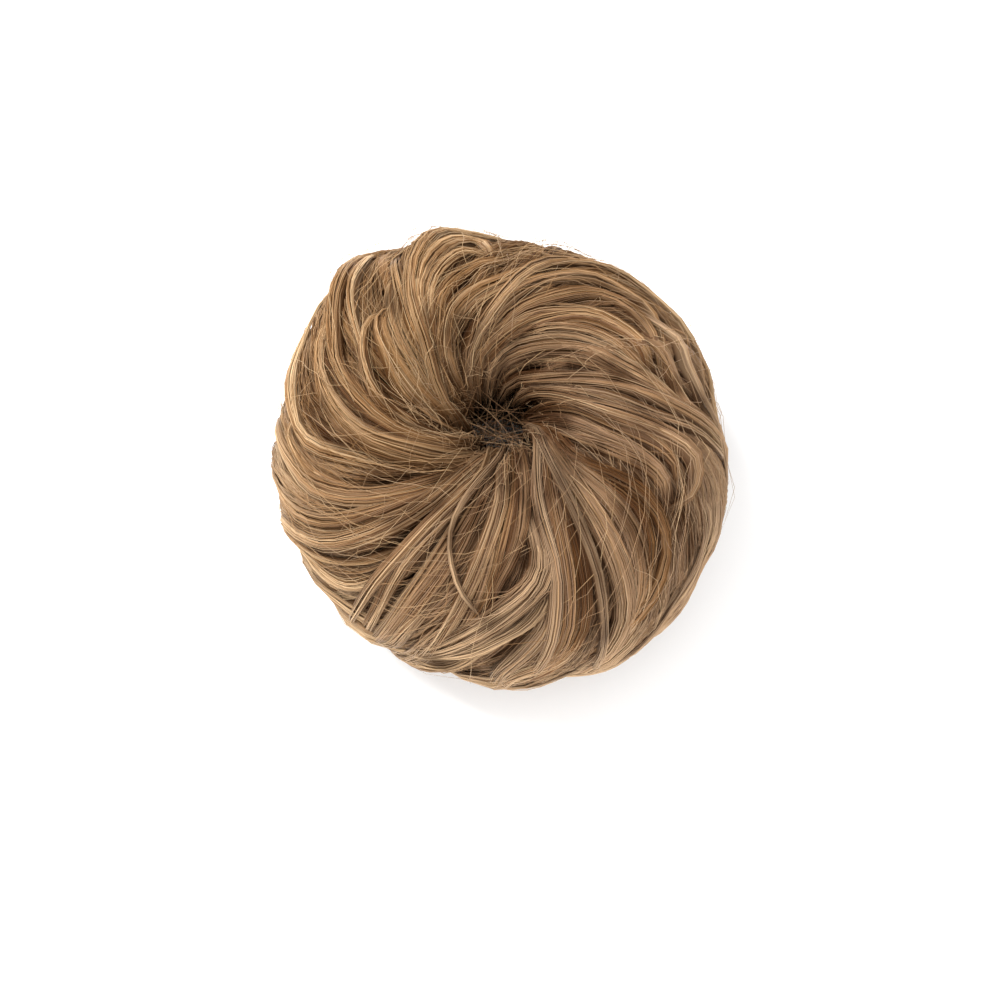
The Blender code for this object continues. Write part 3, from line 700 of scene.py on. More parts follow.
def lock_strands(form_at, rolls, count, steps, rng, sizes, lock_tone, turn_on):
    """The strands over one lock. They lie in small bunches that wind slowly about their own middles, and
    turn on towards the rim by turn_on degrees, over the neighbouring lock."""
    first, last = rolls
    t = np.linspace(0, 1, steps)[None, :]
    starts = first + rng.uniform(0, sizes.root_scatter, (count, 1))
    ends = last + rng.uniform(-sizes.tip_scatter, sizes.tip_scatter * 0.5, (count, 1))
    roll = starts + (ends - starts) * t
    form = form_at(roll)
    middle_form = form_at(np.array([(first + last) / 2]))
    span = float(middle_form.high[0] - middle_form.low[0])
    reach = section_point((first + last) / 2, 0)[0]
    width = math.radians(span) * reach
    bunches = max(3, int(round(width / sizes.bunch_width)))
    bunch = rng.integers(0, bunches, count)
    bunch_wander = waves(rng, bunches, t, 0.8, 0.55 / bunches)[bunch]
    centre = ((bunch + 0.5) / bunches)[:, None] + bunch_wander
    turn = rng.uniform(0, 2 * np.pi, (count, 1)) + 2 * np.pi * rng.uniform(0.2, 0.7, (bunches, 1))[bunch] * t
    reach_out = np.sqrt(rng.uniform(0, 1, (count, 1)))
    spread = 0.55 + waves(rng, bunches, t, 1.1, 0.25)[bunch]
    across = centre + reach_out * np.cos(turn) * spread / bunches
    across += waves(rng, count, t, 1.3, 0.03)
    across = np.clip(across, -0.02, 1.02)
    heading = top_place(form, roll, across)[0] - turn_on * ease(roll, 60.0, 175.0)
    inset = softened(COVER.read(COVER.inset, roll, heading), 1)
    valley = np.abs(across * bunches - np.floor(across * bunches) - 0.5) * 2
    lift = reach_out * np.sin(turn) * sizes.bunch_height + waves(rng, count, t, 2.0, sizes.strand_wave)
    lift += waves(rng, bunches, t, 1.4, sizes.bunch_height * 0.7)[bunch]
    bedded = inset + sizes.bunch_height * 0.8 * valley**3 - lift
    paths = hair_point(roll, heading, bedded)
    paths[..., 2] = np.maximum(paths[..., 2], sizes.strand_radius * 1.2)
    radii = tapered(rng, count, t, sizes.strand_radius, 0.05, 0.12)
    tones = lock_tone + 0.13 * rng.standard_normal(bunches)[bunch] + 0.18 * rng.standard_normal(count)
    cools = ash_and_shade(heading.mean(axis=1)) + 0.15 * rng.standard_normal(count)
    # Painted shade: strands that lie lower or in crevices, in the throat and in the hollows are darker; painted
    # light makes them lighter towards the rim
    relief = COVER.read(COVER.relief, roll, heading)
    depth = np.clip(0.50 + (relief + lift) / CREVICE_DEPTH, 0, 1)
    shades = throat_shade(roll) * (0.15 + 0.8 * depth)
    shades = shades * (1 - STRAND_HOLLOW_SHADE * painted_hollow_shade(roll, heading))
    return Strands(paths, radii, tones[:, None] + rim_painted_light(roll), cools, shades)


def laid_path(row):
    """The middle of a laid lock as a function of t, from 0 at its root to 1 at its tip, giving its roll and
    heading, and the t where the traced path ends and the lock starts to dip."""
    path = list(row.path)
    heading, roll = path[0]
    if roll < LAID_ROOT_REACH:
        path.insert(0, (heading + LAID_ROOT_LEAN * (roll - LAID_ROOT_ROLL), LAID_ROOT_ROLL))
    heading, roll = path[-1]
    before_heading, before_roll = path[-2]
    on_heading, on_roll = heading - before_heading, roll - before_roll
    if roll > LAID_WRAP_ROLL:
        slope = min(max(on_heading / max(on_roll, LAID_LEAST_FALL), LAID_WRAP_SLOPES[0]), LAID_WRAP_SLOPES[1])
        heading, roll = heading + (0.7 * slope - 0.05) * LAID_WRAP, roll + LAID_WRAP
        on_heading, on_roll = (0.5 * slope - 0.25) * LAID_WRAP, LAID_WRAP
        path.append((heading, roll))
    path.append((heading + 0.9 * on_heading, roll + 0.9 * on_roll))
    marks = [0.0]
    for (h0, r0), (h1, r1) in zip(path, path[1:]):
        round_way = math.radians(h1 - h0) * section_point((r0 + r1) / 2, 0)[0]
        marks.append(marks[-1] + math.hypot(round_way, math.radians(r1 - r0) * SECTION_HALF_WIDTH))
    marks = [mark / marks[-1] for mark in marks]
    fine = np.linspace(0, 1, LAID_PATH_POINTS)[None, :]
    heading, roll = (
        softened(through(fine, [(mark, spot[part]) for mark, spot in zip(marks, path)]), LAID_SMOOTHING)[0]
        for part in (0, 1)
    )
    return lambda t: (np.interp(t, fine[0], roll), np.interp(t, fine[0], heading), marks[-2])


def laid_place(row, path, t, u):
    """Roll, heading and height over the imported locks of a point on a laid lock. u is -1 and 1 at its two
    edges. Also gives how far the lock is held up there, and how full it is."""
    roll, heading, tip = path(t)
    ahead_roll, ahead_heading, _ = path(t + 0.01)
    behind_roll, behind_heading, _ = path(t - 0.01)
    radius = section_point(roll, 0)[0]
    down = np.radians(ahead_roll - behind_roll) * SECTION_HALF_WIDTH
    round_way = np.radians(ahead_heading - behind_heading) * radius
    length = np.hypot(down, round_way) + 1e-9
    fullness = 0.28 + 0.72 * np.sin(np.pi * np.clip(t, 0, 1) ** 0.8) ** 0.7
    across = row.width / 2000 * fullness * u
    own_roll = roll - np.degrees(round_way / length * across / SECTION_HALF_WIDTH)
    own_heading = heading + np.degrees(down / length * across / radius)
    crown = np.clip(1 - np.clip(np.abs(u), 0, 1) ** 2.2, 0, 1) ** 0.6
    rooted = row.path[0][1] < LAID_ROOT_REACH
    held = ease(t, 0.0, 0.12 if rooted else 0.32) * (1 - ease(t, tip - 0.12, 1.0))
    lift = row.lift / 1000 * (1 - RIM_LIFT_LOSS * ease(own_roll, 115.0, 165.0))
    rise = lift * (0.25 + 0.75 * crown) * held - LAID_DIP * (1 - held)
    return own_roll, own_heading, rise, held, fullness


def laid_bed(row, path):
    """The body of a laid lock: a sphere drawn out along its path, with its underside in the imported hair."""
    deselect_all()
    bpy.ops.mesh.primitive_uv_sphere_add(segments=LAID_SEGMENTS, ring_count=LAID_RINGS, radius=1)
    bed = bpy.context.object
    x, y, z = vertex_array(bed.data).T
    t = np.arccos(np.clip(z, -1, 1)) / np.pi
    around = np.arctan2(y, x)
    pole = np.abs(z) > 0.9999
    u = np.where(pole, 0.0, -np.cos(around))
    over = (around >= 0) & ~pole
    roll, heading, rise, held, _ = laid_place(row, path, t, u)
    inset = COVER.read(COVER.laid, roll, heading)
    under = np.minimum(rise - 0.0002, -0.0004)
    height = np.where(over, rise - LAID_SINK, np.where(pole, rise - 0.0004, under))
    points = hair_point(roll, heading, inset - height)
    points[:, 2] = np.maximum(points[:, 2], 0.0001)
    set_vertices(bed.data, points)
    # Painted shade: the body is darker at its sides, beneath, where it dips under the others, in the throat and
    # in the hollows, and darker than its strands so the gaps between them look deep; painted light makes it
    # lighter towards the rim
    shades = throat_shade(roll) * np.where(over, 0.12 + 0.45 * (1 - u**2), 0.1)
    shades = shades * (0.3 + 0.7 * held) * (1 - LAID_HOLLOW_SHADE * painted_hollow_shade(roll, heading))
    store_colour(bed.data, row.tone - 0.12 + rim_painted_light(roll), ash_and_shade(heading), shades)
    face_outwards(bed)
    return bed


def laid_strands(row, path, count, steps, rng, sizes):
    """The strands of a laid lock: they spread from its root, part into bunches and draw together at its
    tip, where the lock dips under the others."""
    t = np.linspace(0, 1, steps)[None, :]
    bunches = max(2, int(round(row.width / 1.1)))
    bunch = rng.integers(0, bunches, count)
    centre = (((bunch + 0.5) / bunches) * 2 - 1)[:, None] * 0.9
    centre = centre + waves(rng, bunches, t, 0.7, 0.25)[bunch]
    turn = rng.uniform(0, 2 * np.pi, (count, 1)) + 2 * np.pi * rng.uniform(-0.6, 0.8, (bunches, 1))[bunch] * t
    reach_out = np.sqrt(rng.uniform(0, 1, (count, 1)))
    stray = 1 + 1.2 * (rng.uniform(0, 1, (count, 1)) > 0.9)
    u = centre + reach_out * np.cos(turn) * stray * 1.2 / bunches + waves(rng, count, t, 1.2, 0.09)
    roll, heading, rise, held, fullness = laid_place(row, path, t, u)
    lift = rise + reach_out * np.sin(turn) * sizes.bunch_height * fullness
    lift += waves(rng, bunches, t, 1.3, sizes.bunch_height * 0.5)[bunch]
    lift += waves(rng, count, t, 2.0, sizes.strand_wave)
    inset = softened(COVER.read(COVER.laid, roll, heading), 1)
    paths = hair_point(roll, heading, inset - lift)
    paths[..., 2] = np.maximum(paths[..., 2], sizes.strand_radius * 1.2)
    radii = tapered(rng, count, t, sizes.strand_radius, 0.05, 0.15)
    tones = row.tone + 0.12 * rng.standard_normal(bunches)[bunch] + 0.20 * rng.standard_normal(count)
    cools = ash_and_shade(heading.mean(axis=1)) * np.clip(2 * row.tone, 0.2, 1.2)
    cools = cools + 0.15 * rng.standard_normal(count)
    # Painted shade: strands at the lock's edges, lower in their bunch, where the lock dips under the others, in
    # the throat and in the hollows are darker
    depth = np.clip(0.28 + 0.72 * (1 - np.clip(np.abs(u), 0, 1) ** 2) + (lift - rise) / 0.0013, 0.05, 1)
    shades = throat_shade(roll) * depth * (0.3 + 0.7 * held)
    shades = shades * (1 - LAID_HOLLOW_SHADE * painted_hollow_shade(roll, heading))
    return Strands(paths, radii, tones[:, None] + rim_painted_light(roll), cools, shades)


def flank_row(index, rng):
    """A loose lock that winds down the flank, from under the rim to the foot."""
    heading = 360 * (index + rng.uniform(-0.3, 0.3)) / FLANK_LOCKS
    start, slant = rng.uniform(146, 168), rng.uniform(0.45, 1.05)
    bend = rng.uniform(-7, 7)
    path = []
    for share in (0.0, 0.2, 0.4, 0.6, 0.8, 1.0):
        roll = start + (FLANK_END - start) * share
        turn = slant * (roll - start) + bend * math.sin(math.pi * 1.5 * share)
        path.append((heading - turn, roll))
    return LaidLock(rng.uniform(5.0, 9.0), rng.uniform(2.2, 4.2), rng.uniform(0.44, 0.70), path)


def stray_hairs(count, steps, rng, sizes):
    """Single hairs that lie loosely over the locks and cross them."""
    t = np.linspace(0, 1, steps)[None, :]
    first = rng.uniform(15, 120, (count, 1))
    span = rng.uniform(25, 90, (count, 1))
    roll = first + span * t + waves(rng, count, t, 0.7, 5.0)
    slant = rng.uniform(-0.3, 1.5, (count, 1))
    heading = rng.uniform(0, 360, (count, 1)) - slant * span * t
    heading += waves(rng, count, t, 0.6, 4.0) - 10 * t**2
    arch = np.sin(np.pi * t) * rng.uniform(0.0006, 0.0042, (count, 1))
    inset = COVER.read(COVER.inset, roll, heading)
    paths = hair_point(roll, heading, inset - 0.0006 - arch)
    radii = tapered(rng, count, t, sizes.stray_radius, 0.1, 0.3)
    tones = rng.uniform(0.45, 1.0, count)
    cools = ash_and_shade(heading.mean(axis=1)) + 0.2 * rng.standard_normal(count)
    # Painted shade: a fixed shade of 0.9 darkens these hairs a little
    return Strands(paths, radii, tones[:, None] + 0 * roll, cools, 0.9 + 0 * roll)


def mouth_frizz(count, steps, rng, sizes):
    """Short fuzzy hairs that stand about the mouth of the opening in all directions."""
    t = np.linspace(0, 1, steps)[None, :]
    roll = rng.uniform(22, 62, (count, 1)) + rng.uniform(-26, 30, (count, 1)) * t
    heading = rng.normal(165, 75, (count, 1)) + rng.uniform(-60, 60, (count, 1)) * t
    heading += waves(rng, count, t, 0.8, 4.0)
    arch = 0.0005 + np.sin(np.pi * t) * rng.uniform(0.0005, 0.0040, (count, 1))
    paths = hair_point(roll, heading, COVER.read(COVER.inset, roll, heading) - arch)
    radii = tapered(rng, count, t, sizes.stray_radius * 0.8, 0.1, 0.3)
    tones = rng.uniform(0.2, 1.0, count)
    # Painted shade: the frizz about the mouth is darkened by a fixed shade of 0.75
    return Strands(paths, radii, tones[:, None] + 0 * roll, np.full(count, 0.3), 0.75 + 0 * roll)


def opening_hairs(count, steps, rng, sizes):
    """Fine hairs that cross the opening at several heights."""
    t = np.linspace(0, 1, steps)[None, :]
    level = rng.uniform(0, 1, (count, 1)) ** 0.8
    height = 0.007 + 0.030 * level
    wall = OPENING_RADIUS + 0.0022 + 0.006 * level**3
    start = rng.uniform(0, 2 * np.pi, (count, 1))
    end = start + np.pi + rng.uniform(-1.25, 1.25, (count, 1))
    x = wall * (np.cos(start) * (1 - t) + np.cos(end) * t)
    y = wall * (np.sin(start) * (1 - t) + np.sin(end) * t)
    bow = np.sin(np.pi * t)
    x = x + bow * rng.uniform(-0.0025, 0.0025, (count, 1)) + waves(rng, count, t, 0.8, 0.0005)
    y = y + bow * rng.uniform(-0.0025, 0.0025, (count, 1)) + waves(rng, count, t, 0.8, 0.0005)
    z = height + bow * rng.uniform(-0.003, 0.0015, (count, 1)) + 0 * t
    paths = np.stack((AXIS.x + x, AXIS.y + y, z), axis=-1)
    radii = tapered(rng, count, t, sizes.stray_radius * 0.8, 0.1, 0.2)
    # Painted shade: the lower a hair lies in the opening, the darker its tone and shade
    tones = rng.uniform(0.0, 0.9, count) * (0.3 + 0.7 * level[:, 0])
    shades = 0.06 + 0.75 * level**2.5 + 0 * t
    return Strands(paths, radii, tones[:, None] + 0 * t, np.full(count, 0.3), shades)


def foot_strands(count, steps, rng, sizes):
    """The hair on the underside, swirling from the elastic out to the tips of the side locks."""
    t = np.linspace(0, 1, steps)[None, :]
    bunches = FOOT_BUNCHES
    bunch = rng.integers(0, bunches, count)
    turn = 360 * (bunch + 0.5)[:, None] / bunches + rng.normal(0, 1.1, (count, 1))
    heading = turn + 52 * t**1.2 + waves(rng, bunches, t, 0.7, 3.0)[bunch] + waves(rng, count, t, 1.2, 0.9)
    inner, outer = THROAT_WALL_RADIUS + 0.0004, SECTION_RADIUS + 0.004
    start = inner + rng.uniform(0, 0.003, (count, 1))
    radius = start + (outer + rng.uniform(-0.003, 0.003, (count, 1)) - start) * t
    height = 0.00022 + np.abs(waves(rng, count, t, 1.5, 0.00016)) + 0.0009 * (1 - ease(t, 0.0, 0.15))
    paths = placed(radius, height, heading)
    radii = tapered(rng, count, t, sizes.strand_radius, 0.08, 0.1)
    tones = 0.34 + 0.16 * rng.standard_normal(bunches)[bunch] + 0.12 * rng.standard_normal(count)
    # Painted shade: the hair on the underside is darker towards the elastic, under the ring
    shades = 0.35 + 0.5 * ease(radius, inner, outer)
    return Strands(paths, radii, tones[:, None] + 0 * t, np.full(count, 0.3), shades)


def under_ring():
    """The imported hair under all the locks: a ring shaped to its section."""
    deselect_all()
    bpy.ops.mesh.primitive_torus_add(
        major_segments=96,
        minor_segments=UNDER_SECTION,
        major_radius=1,
        minor_radius=0.3,
    )
    ring = bpy.context.object
    x, y, z = vertex_array(ring.data).T
    heading = np.degrees(np.arctan2(y, x))
    around = (np.arctan2(z, 1 - np.hypot(x, y)) / (2 * np.pi)) % 1
    corner = np.round(around * UNDER_SECTION).astype(int) % UNDER_SECTION
    rolls = np.linspace(ROOT_ROLL, SIDE_TIP_ROLL, UNDER_SECTION - 7)
    radius, height = section_point(rolls, under_inset(rolls))
    foot = [(out, FOOT_RISE) for out in (SECTION_RADIUS, 0.026, 0.020, THROAT_WALL_RADIUS + 0.0004)]
    wall = [(THROAT_WALL_RADIUS, up) for up in (FOOT_RISE + 0.0004, 0.004, BAND_TOP)]
    section = np.concatenate((np.stack((radius, height), axis=1), foot, wall))
    set_vertices(ring.data, placed(section[corner, 0], section[corner, 1], heading))
    # Painted shade: the hair under the locks is painted dark, with a shade of 0.4, where it shows between them
    store_colour(ring.data, 0.25, 0.3, 0.4)
    face_outwards(ring)
    return ring


def elastic_ring():
    """The elastic: a ring of cord with fine threads wound round it."""
    deselect_all()
    bpy.ops.mesh.primitive_torus_add(
        major_segments=264,
        minor_segments=18,
        major_radius=BAND_RADIUS,
        minor_radius=BAND_CORD_RADIUS,
    )
    ring = bpy.context.object
    x, y, z = vertex_array(ring.data).T
    heading = np.arctan2(y, x)
    reach = np.hypot(x, y) - BAND_RADIUS
    around = np.arctan2(z, reach)
    thread = np.abs(np.sin(heading * 44 + around))
    cord = BAND_CORD_RADIUS * (0.93 + 0.07 * thread**0.6)
    radius = BAND_RADIUS + cord * np.cos(around)
    height = BAND_LIFT + BAND_CORD_RADIUS + cord * np.sin(around)
    points = np.stack((AXIS.x + radius * np.cos(heading), AXIS.y + radius * np.sin(heading), height), axis=1)
    set_vertices(ring.data, points)
    face_outwards(ring)
    return ring


# Materials


def new_group(name, inputs, outputs):
    group = bpy.data.node_groups.new(name, "ShaderNodeTree")
    for label, kind, default in inputs:
        socket = group.interface.new_socket(label, in_out="INPUT", socket_type=kind)
        if default is not None:
            socket.default_value = default
    for label, kind in outputs:
        group.interface.new_socket(label, in_out="OUTPUT", socket_type=kind)
    return group, group.nodes.new("NodeGroupInput"), group.nodes.new("NodeGroupOutput")


def mixed(group, factor, first, second):
    """A colour mix in a group's tree. Each of the three is a socket to link from."""
    mix = group.nodes.new("ShaderNodeMixRGB")
    group.links.new(factor, mix.inputs["Fac"])
    group.links.new(first, mix.inputs["Color1"])
    group.links.new(second, mix.inputs["Color2"])
    return mix.outputs["Color"]


def hair_colour_group():
    """Colour of a strand from its own tone, its share of ash and its painted shade, which mixes in the shadow
    colour where little light reaches it.
    """
    group, given, made = new_group(
        "hair colour",
        [
            ("Tone", "NodeSocketFloat", 0.5),
            ("Cool", "NodeSocketFloat", 0.3),
            ("Shade", "NodeSocketFloat", 1.0),
            ("Root", "NodeSocketColor", (0.1, 0.05, 0.02, 1)),
            ("Dark", "NodeSocketColor", (0.2, 0.1, 0.05, 1)),
            ("Middle", "NodeSocketColor", (0.4, 0.25, 0.12, 1)),
            ("Light", "NodeSocketColor", (0.6, 0.42, 0.25, 1)),
            ("Ash", "NodeSocketColor", (0.35, 0.25, 0.18, 1)),
        ],
        [("Color", "NodeSocketColor")],
    )
    lower = group.nodes.new("ShaderNodeMapRange")
    lower.inputs["From Max"].default_value = 0.5
    upper = group.nodes.new("ShaderNodeMapRange")
    upper.inputs["From Min"].default_value = 0.5
    group.links.new(given.outputs["Tone"], lower.inputs["Value"])
    group.links.new(given.outputs["Tone"], upper.inputs["Value"])
    toned = mixed(group, lower.outputs["Result"], given.outputs["Dark"], given.outputs["Middle"])
    toned = mixed(group, upper.outputs["Result"], toned, given.outputs["Light"])
    ashen = mixed(group, given.outputs["Cool"], toned, given.outputs["Ash"])
    # Painted shade: the shadow colour is mixed in where the stored shade is low
    rooted = mixed(group, given.outputs["Shade"], given.outputs["Root"], ashen)
    group.links.new(rooted, made.inputs["Color"])
    return group


def streak_group():
    """Streaks along a piece, from its UV map: single hairs within broader bunches."""
    group, given, made = new_group(
        "hair streaks",
        [
            ("Vector", "NodeSocketVector", None),
            ("Across", "NodeSocketFloat", 60.0),
            ("Along", "NodeSocketFloat", 2.0),
        ],
        [("Streak", "NodeSocketFloat")],
    )
    nodes, links = group.nodes, group.links
    parts = []
    for share in (1.0, 0.16):
        across = math_node(nodes, "MULTIPLY", share)
        scale = nodes.new("ShaderNodeCombineXYZ")
        scale.inputs["Z"].default_value = 1.0
        stretched = nodes.new("ShaderNodeVectorMath")
        stretched.operation = "MULTIPLY"
        noise = nodes.new("ShaderNodeTexNoise")
        noise.inputs["Scale"].default_value = 1.0
        noise.inputs["Detail"].default_value = 3.0
        links.new(given.outputs["Across"], across.inputs[0])
        links.new(across.outputs["Value"], scale.inputs["X"])
        links.new(given.outputs["Along"], scale.inputs["Y"])
        links.new(given.outputs["Vector"], stretched.inputs[0])
        links.new(scale.outputs["Vector"], stretched.inputs[1])
        links.new(stretched.outputs["Vector"], noise.inputs["Vector"])
        parts.append(noise.outputs["Fac"])
    both = math_node(nodes, "ADD")
    spread = nodes.new("ShaderNodeMapRange")
    spread.inputs["From Min"].default_value = 0.70
    spread.inputs["From Max"].default_value = 1.30
    links.new(parts[0], both.inputs[0])
    links.new(parts[1], both.inputs[1])
    links.new(both.outputs["Value"], spread.inputs["Value"])
    links.new(spread.outputs["Result"], made.inputs["Streak"])
    return group


def plain_material(name, roughness):
    finish = bpy.data.materials.new(name)
    finish.use_nodes = True
    shader = finish.node_tree.nodes["Principled BSDF"]
    shader.inputs["Roughness"].default_value = roughness
    return finish, finish.node_tree.nodes, finish.node_tree.links, shader


def math_node(nodes, operation, *constants):
    """A math node whose inputs after the first hold constants."""
    node = nodes.new("ShaderNodeMath")
    node.operation = operation
    for socket, constant in zip(node.inputs[1:], constants):
        socket.default_value = constant
    return node


def group_node(nodes, name):
    node = nodes.new("ShaderNodeGroup")
    node.node_tree = bpy.data.node_groups[name]
    return node


def colour_node(nodes, colours):
    node = group_node(nodes, "hair colour")
    for label in ("Root", "Dark", "Middle", "Light", "Ash"):
        node.inputs[label].default_value = (*getattr(colours, f"{label.lower()}_colour"), 1)
    return node


def attribute_node(nodes, name):
    node = nodes.new("ShaderNodeAttribute")
    node.attribute_type = "GEOMETRY"
    node.attribute_name = name
    return node


def strand_material(name, colours):
    """Silky strands that read the tone, share of ash and painted shade stored on each of them."""
    finish, nodes, links, shader = plain_material(name, 0.38)
    shader.inputs["Specular IOR Level"].default_value = 0.22
    shader.inputs["Specular Tint"].default_value = SHEEN_TINT
    colour = colour_node(nodes, colours)
    for label in ("Tone", "Cool", "Shade"):
        links.new(attribute_node(nodes, label.lower()).outputs["Fac"], colour.inputs[label])
    links.new(colour.outputs["Color"], shader.inputs["Base Color"])
    return finish


def bed_material(name, colours, across, along):
    """Packed hair under the strands: the stored tone and painted shade, with streaks of colour and relief along
    the piece.
    """
    finish, nodes, links, shader = plain_material(name, 0.5)
    shader.inputs["Specular IOR Level"].default_value = 0.12
    shader.inputs["Specular Tint"].default_value = SHEEN_TINT
    coords = nodes.new("ShaderNodeTexCoord")
    streaks = group_node(nodes, "hair streaks")
    streaks.inputs["Across"].default_value = across
    streaks.inputs["Along"].default_value = along
    colour = colour_node(nodes, colours)
    stray = math_node(nodes, "MULTIPLY_ADD", 0.9, -0.45)
    toned = math_node(nodes, "ADD")
    toned.use_clamp = True
    bump = nodes.new("ShaderNodeBump")
    bump.inputs["Strength"].default_value = 0.8
    bump.inputs["Distance"].default_value = 0.00025
    links.new(coords.outputs["UV"], streaks.inputs["Vector"])
    links.new(streaks.outputs["Streak"], stray.inputs[0])
    links.new(stray.outputs["Value"], toned.inputs[0])
    links.new(attribute_node(nodes, "tone").outputs["Fac"], toned.inputs[1])
    links.new(toned.outputs["Value"], colour.inputs["Tone"])
    links.new(attribute_node(nodes, "cool").outputs["Fac"], colour.inputs["Cool"])
    links.new(attribute_node(nodes, "shade").outputs["Fac"], colour.inputs["Shade"])
    links.new(streaks.outputs["Streak"], bump.inputs["Height"])
    links.new(colour.outputs["Color"], shader.inputs["Base Color"])
    links.new(bump.outputs["Normal"], shader.inputs["Normal"])
    return finish


def elastic_material(name, colours):
    """Woven elastic: fine threads wound across the cord."""
    finish, nodes, links, shader = plain_material(name, 0.75)
    coords = nodes.new("ShaderNodeTexCoord")
    streaks = group_node(nodes, "hair streaks")
    streaks.inputs["Across"].default_value = 260.0
    streaks.inputs["Along"].default_value = 3.0
    colour = nodes.new("ShaderNodeMixRGB")
    colour.inputs["Color1"].default_value = (*colours.elastic_colour, 1)
    # The darker threads of the elastic take the dark brown of the hair's painted shadow as their own colour
    colour.inputs["Color2"].default_value = (*colours.root_colour, 1)
    bump = nodes.new("ShaderNodeBump")
    bump.inputs["Distance"].default_value = 0.0003
    links.new(coords.outputs["UV"], streaks.inputs["Vector"])
    links.new(streaks.outputs["Streak"], colour.inputs["Fac"])
    links.new(streaks.outputs["Streak"], bump.inputs["Height"])
    links.new(colour.outputs["Color"], shader.inputs["Base Color"])
    links.new(bump.outputs["Normal"], shader.inputs["Normal"])
    return finish


def finish_named(name, make, *settings):
    """The material of that name, made the first time it is asked for."""
    return bpy.data.materials.get(name) or make(name, *settings)


# Steps of the beds and of the ring under them
BED_SEGMENTS = 28
BED_RINGS = 26
LAID_SEGMENTS = 16
LAID_RINGS = 30
BED_RIDGES = 5
BED_RIDGE_HEIGHT = 0.00022
UNDER_SECTION = 40

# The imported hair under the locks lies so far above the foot, in metres, over this many bunches of strands
FOOT_RISE = 0.0010
FOOT_BUNCHES = 90

# The colour of the sheen on the hair
SHEEN_TINT = (1.0, 0.74, 0.48, 1)

# Streaks across the kinds of bed, and along each
BED_STREAKS = {"under bed": 300.0, "lock bed": 90.0, "laid bed": 110.0}
STREAKS_ALONG = 3.0

# How much darker the hair is painted in a hollow, as a share: painted shade
BED_HOLLOW_SHADE = 0.9
STRAND_HOLLOW_SHADE = 0.85
LAID_HOLLOW_SHADE = 0.65

# How many hairs there are that belong to no lock, and the points along each
FOOT_HAIRS = (560, 9)
STRAY_HAIRS = (360, 12)
FRIZZ_HAIRS = (220, 9)
OPENING_HAIRS = (130, 9)

# The imported locks in their two tiers: the table and the form, the first seed, the range of tones (kept darker
# than the laid locks: partly the hair's own tone, partly painted shade under them), the first and last roll of
# the beds and how far they lie below the strands, the first and last roll of the strands, and the degrees by
# which these turn on towards the rim, past their own lock
Tier = namedtuple("Tier", "name rows form seed tones bed_rolls sink strand_rolls turn_on")
UPPER_TIER = Tier(
    name="upper",
    rows=UPPER_LOCKS,
    form=upper_form,
    seed=SEED,
    tones=(0.26, 0.44),
    bed_rolls=(ROOT_ROLL, UPPER_TIP_ROLL),
    sink=0.0009,
    strand_rolls=(-16.0, 206.0),
    turn_on=13.0,
)
SIDE_TIER = Tier(
    name="side",
    rows=SIDE_LOCKS,
    form=side_form,
    seed=SEED + 100,
    tones=(0.30, 0.46),
    bed_rolls=(SIDE_ROOT_ROLL, SIDE_TIP_ROLL),
    sink=0.0006,
    strand_rolls=(162.0, 264.0),
    turn_on=0.0,
)

# First seeds of the other pieces
LAID_SEED = SEED + 200
FLANK_SEED = SEED + 300
LOOSE_SEED = SEED + 400
FOOT_SEED = SEED + 500

# Laid locks whose path starts below this roll reach down to the root roll. Their ends dip under the others
LAID_ROOT_REACH = 50.0
LAID_ROOT_ROLL = -4.0
LAID_ROOT_LEAN = 0.45
LAID_DIP = 0.0012

# Laid locks that end past this roll run on by so many degrees round the rim, at their own slope (heading
# over roll) within these bounds. The slope is taken over a fall of at least LAID_LEAST_FALL degrees of roll
LAID_WRAP_ROLL = 138.0
LAID_WRAP = 20.0
LAID_WRAP_SLOPES = (-0.9, 0.2)
LAID_LEAST_FALL = 4.0

# Points of a laid lock's path, and how many times it is smoothed
LAID_PATH_POINTS = 121
LAID_SMOOTHING = 48

# How far the body of a laid lock lies below its strands, in metres
LAID_SINK = 0.0008

# The loose locks on the flank: how many go round, and the roll where they tuck in at the foot
FLANK_LOCKS = 16
FLANK_END = 244.0

# Height difference over which the painted shade deepens from the crests into the crevices
CREVICE_DEPTH = 0.0045

# The stage: the floor's width and grey, the strength of the even light, each lamp's name, place, width and
# power, and the camera's lens and sensor in millimetres
FLOOR_WIDTH = 6.0
FLOOR_GREY = (0.88, 0.88, 0.88, 1)
SKY_STRENGTH = 0.95
LAMPS = (("key", (-0.48, 0.34, 0.72), 0.50, 15.0), ("fill", (0.25, -0.80, 0.45), 0.80, 9.0))
LENS = 100.0
SENSOR_WIDTH = 36.0


def hair_setup(context, bed):
    """The sizes, the material of the strands and that of one kind of bed."""
    colours = context.scene.hair_colours
    strands = finish_named("strands", strand_material, colours)
    packed = finish_named(bed, bed_material, colours, BED_STREAKS[bed], STREAKS_ALONG)
    return context.scene.hair_sizes, strands, packed


def build_tier(context, tier, count, steps):
    """The beds and the strands of a tier of packed locks."""
    sizes, strands, packed = hair_setup(context, "lock bed")
    for index in range(len(tier.rows)):
        number = f"{index + 1:02d}"
        rng = np.random.default_rng(tier.seed + index)
        form_at = partial(tier.form, index)
        tone = rng.uniform(*tier.tones)
        bed = lock_bed(form_at, *tier.bed_rolls, tier.sink, rng, tone)
        settle(bed, f"{tier.name}_bed_{number}", packed, [f"{tier.name}_lock_{number}"])
        hair = lock_strands(form_at, tier.strand_rolls, count, steps, rng, sizes, tone, tier.turn_on)
        name = f"{tier.name}_strands_{number}"
        settle(strand_mesh(name, hair), name, strands)


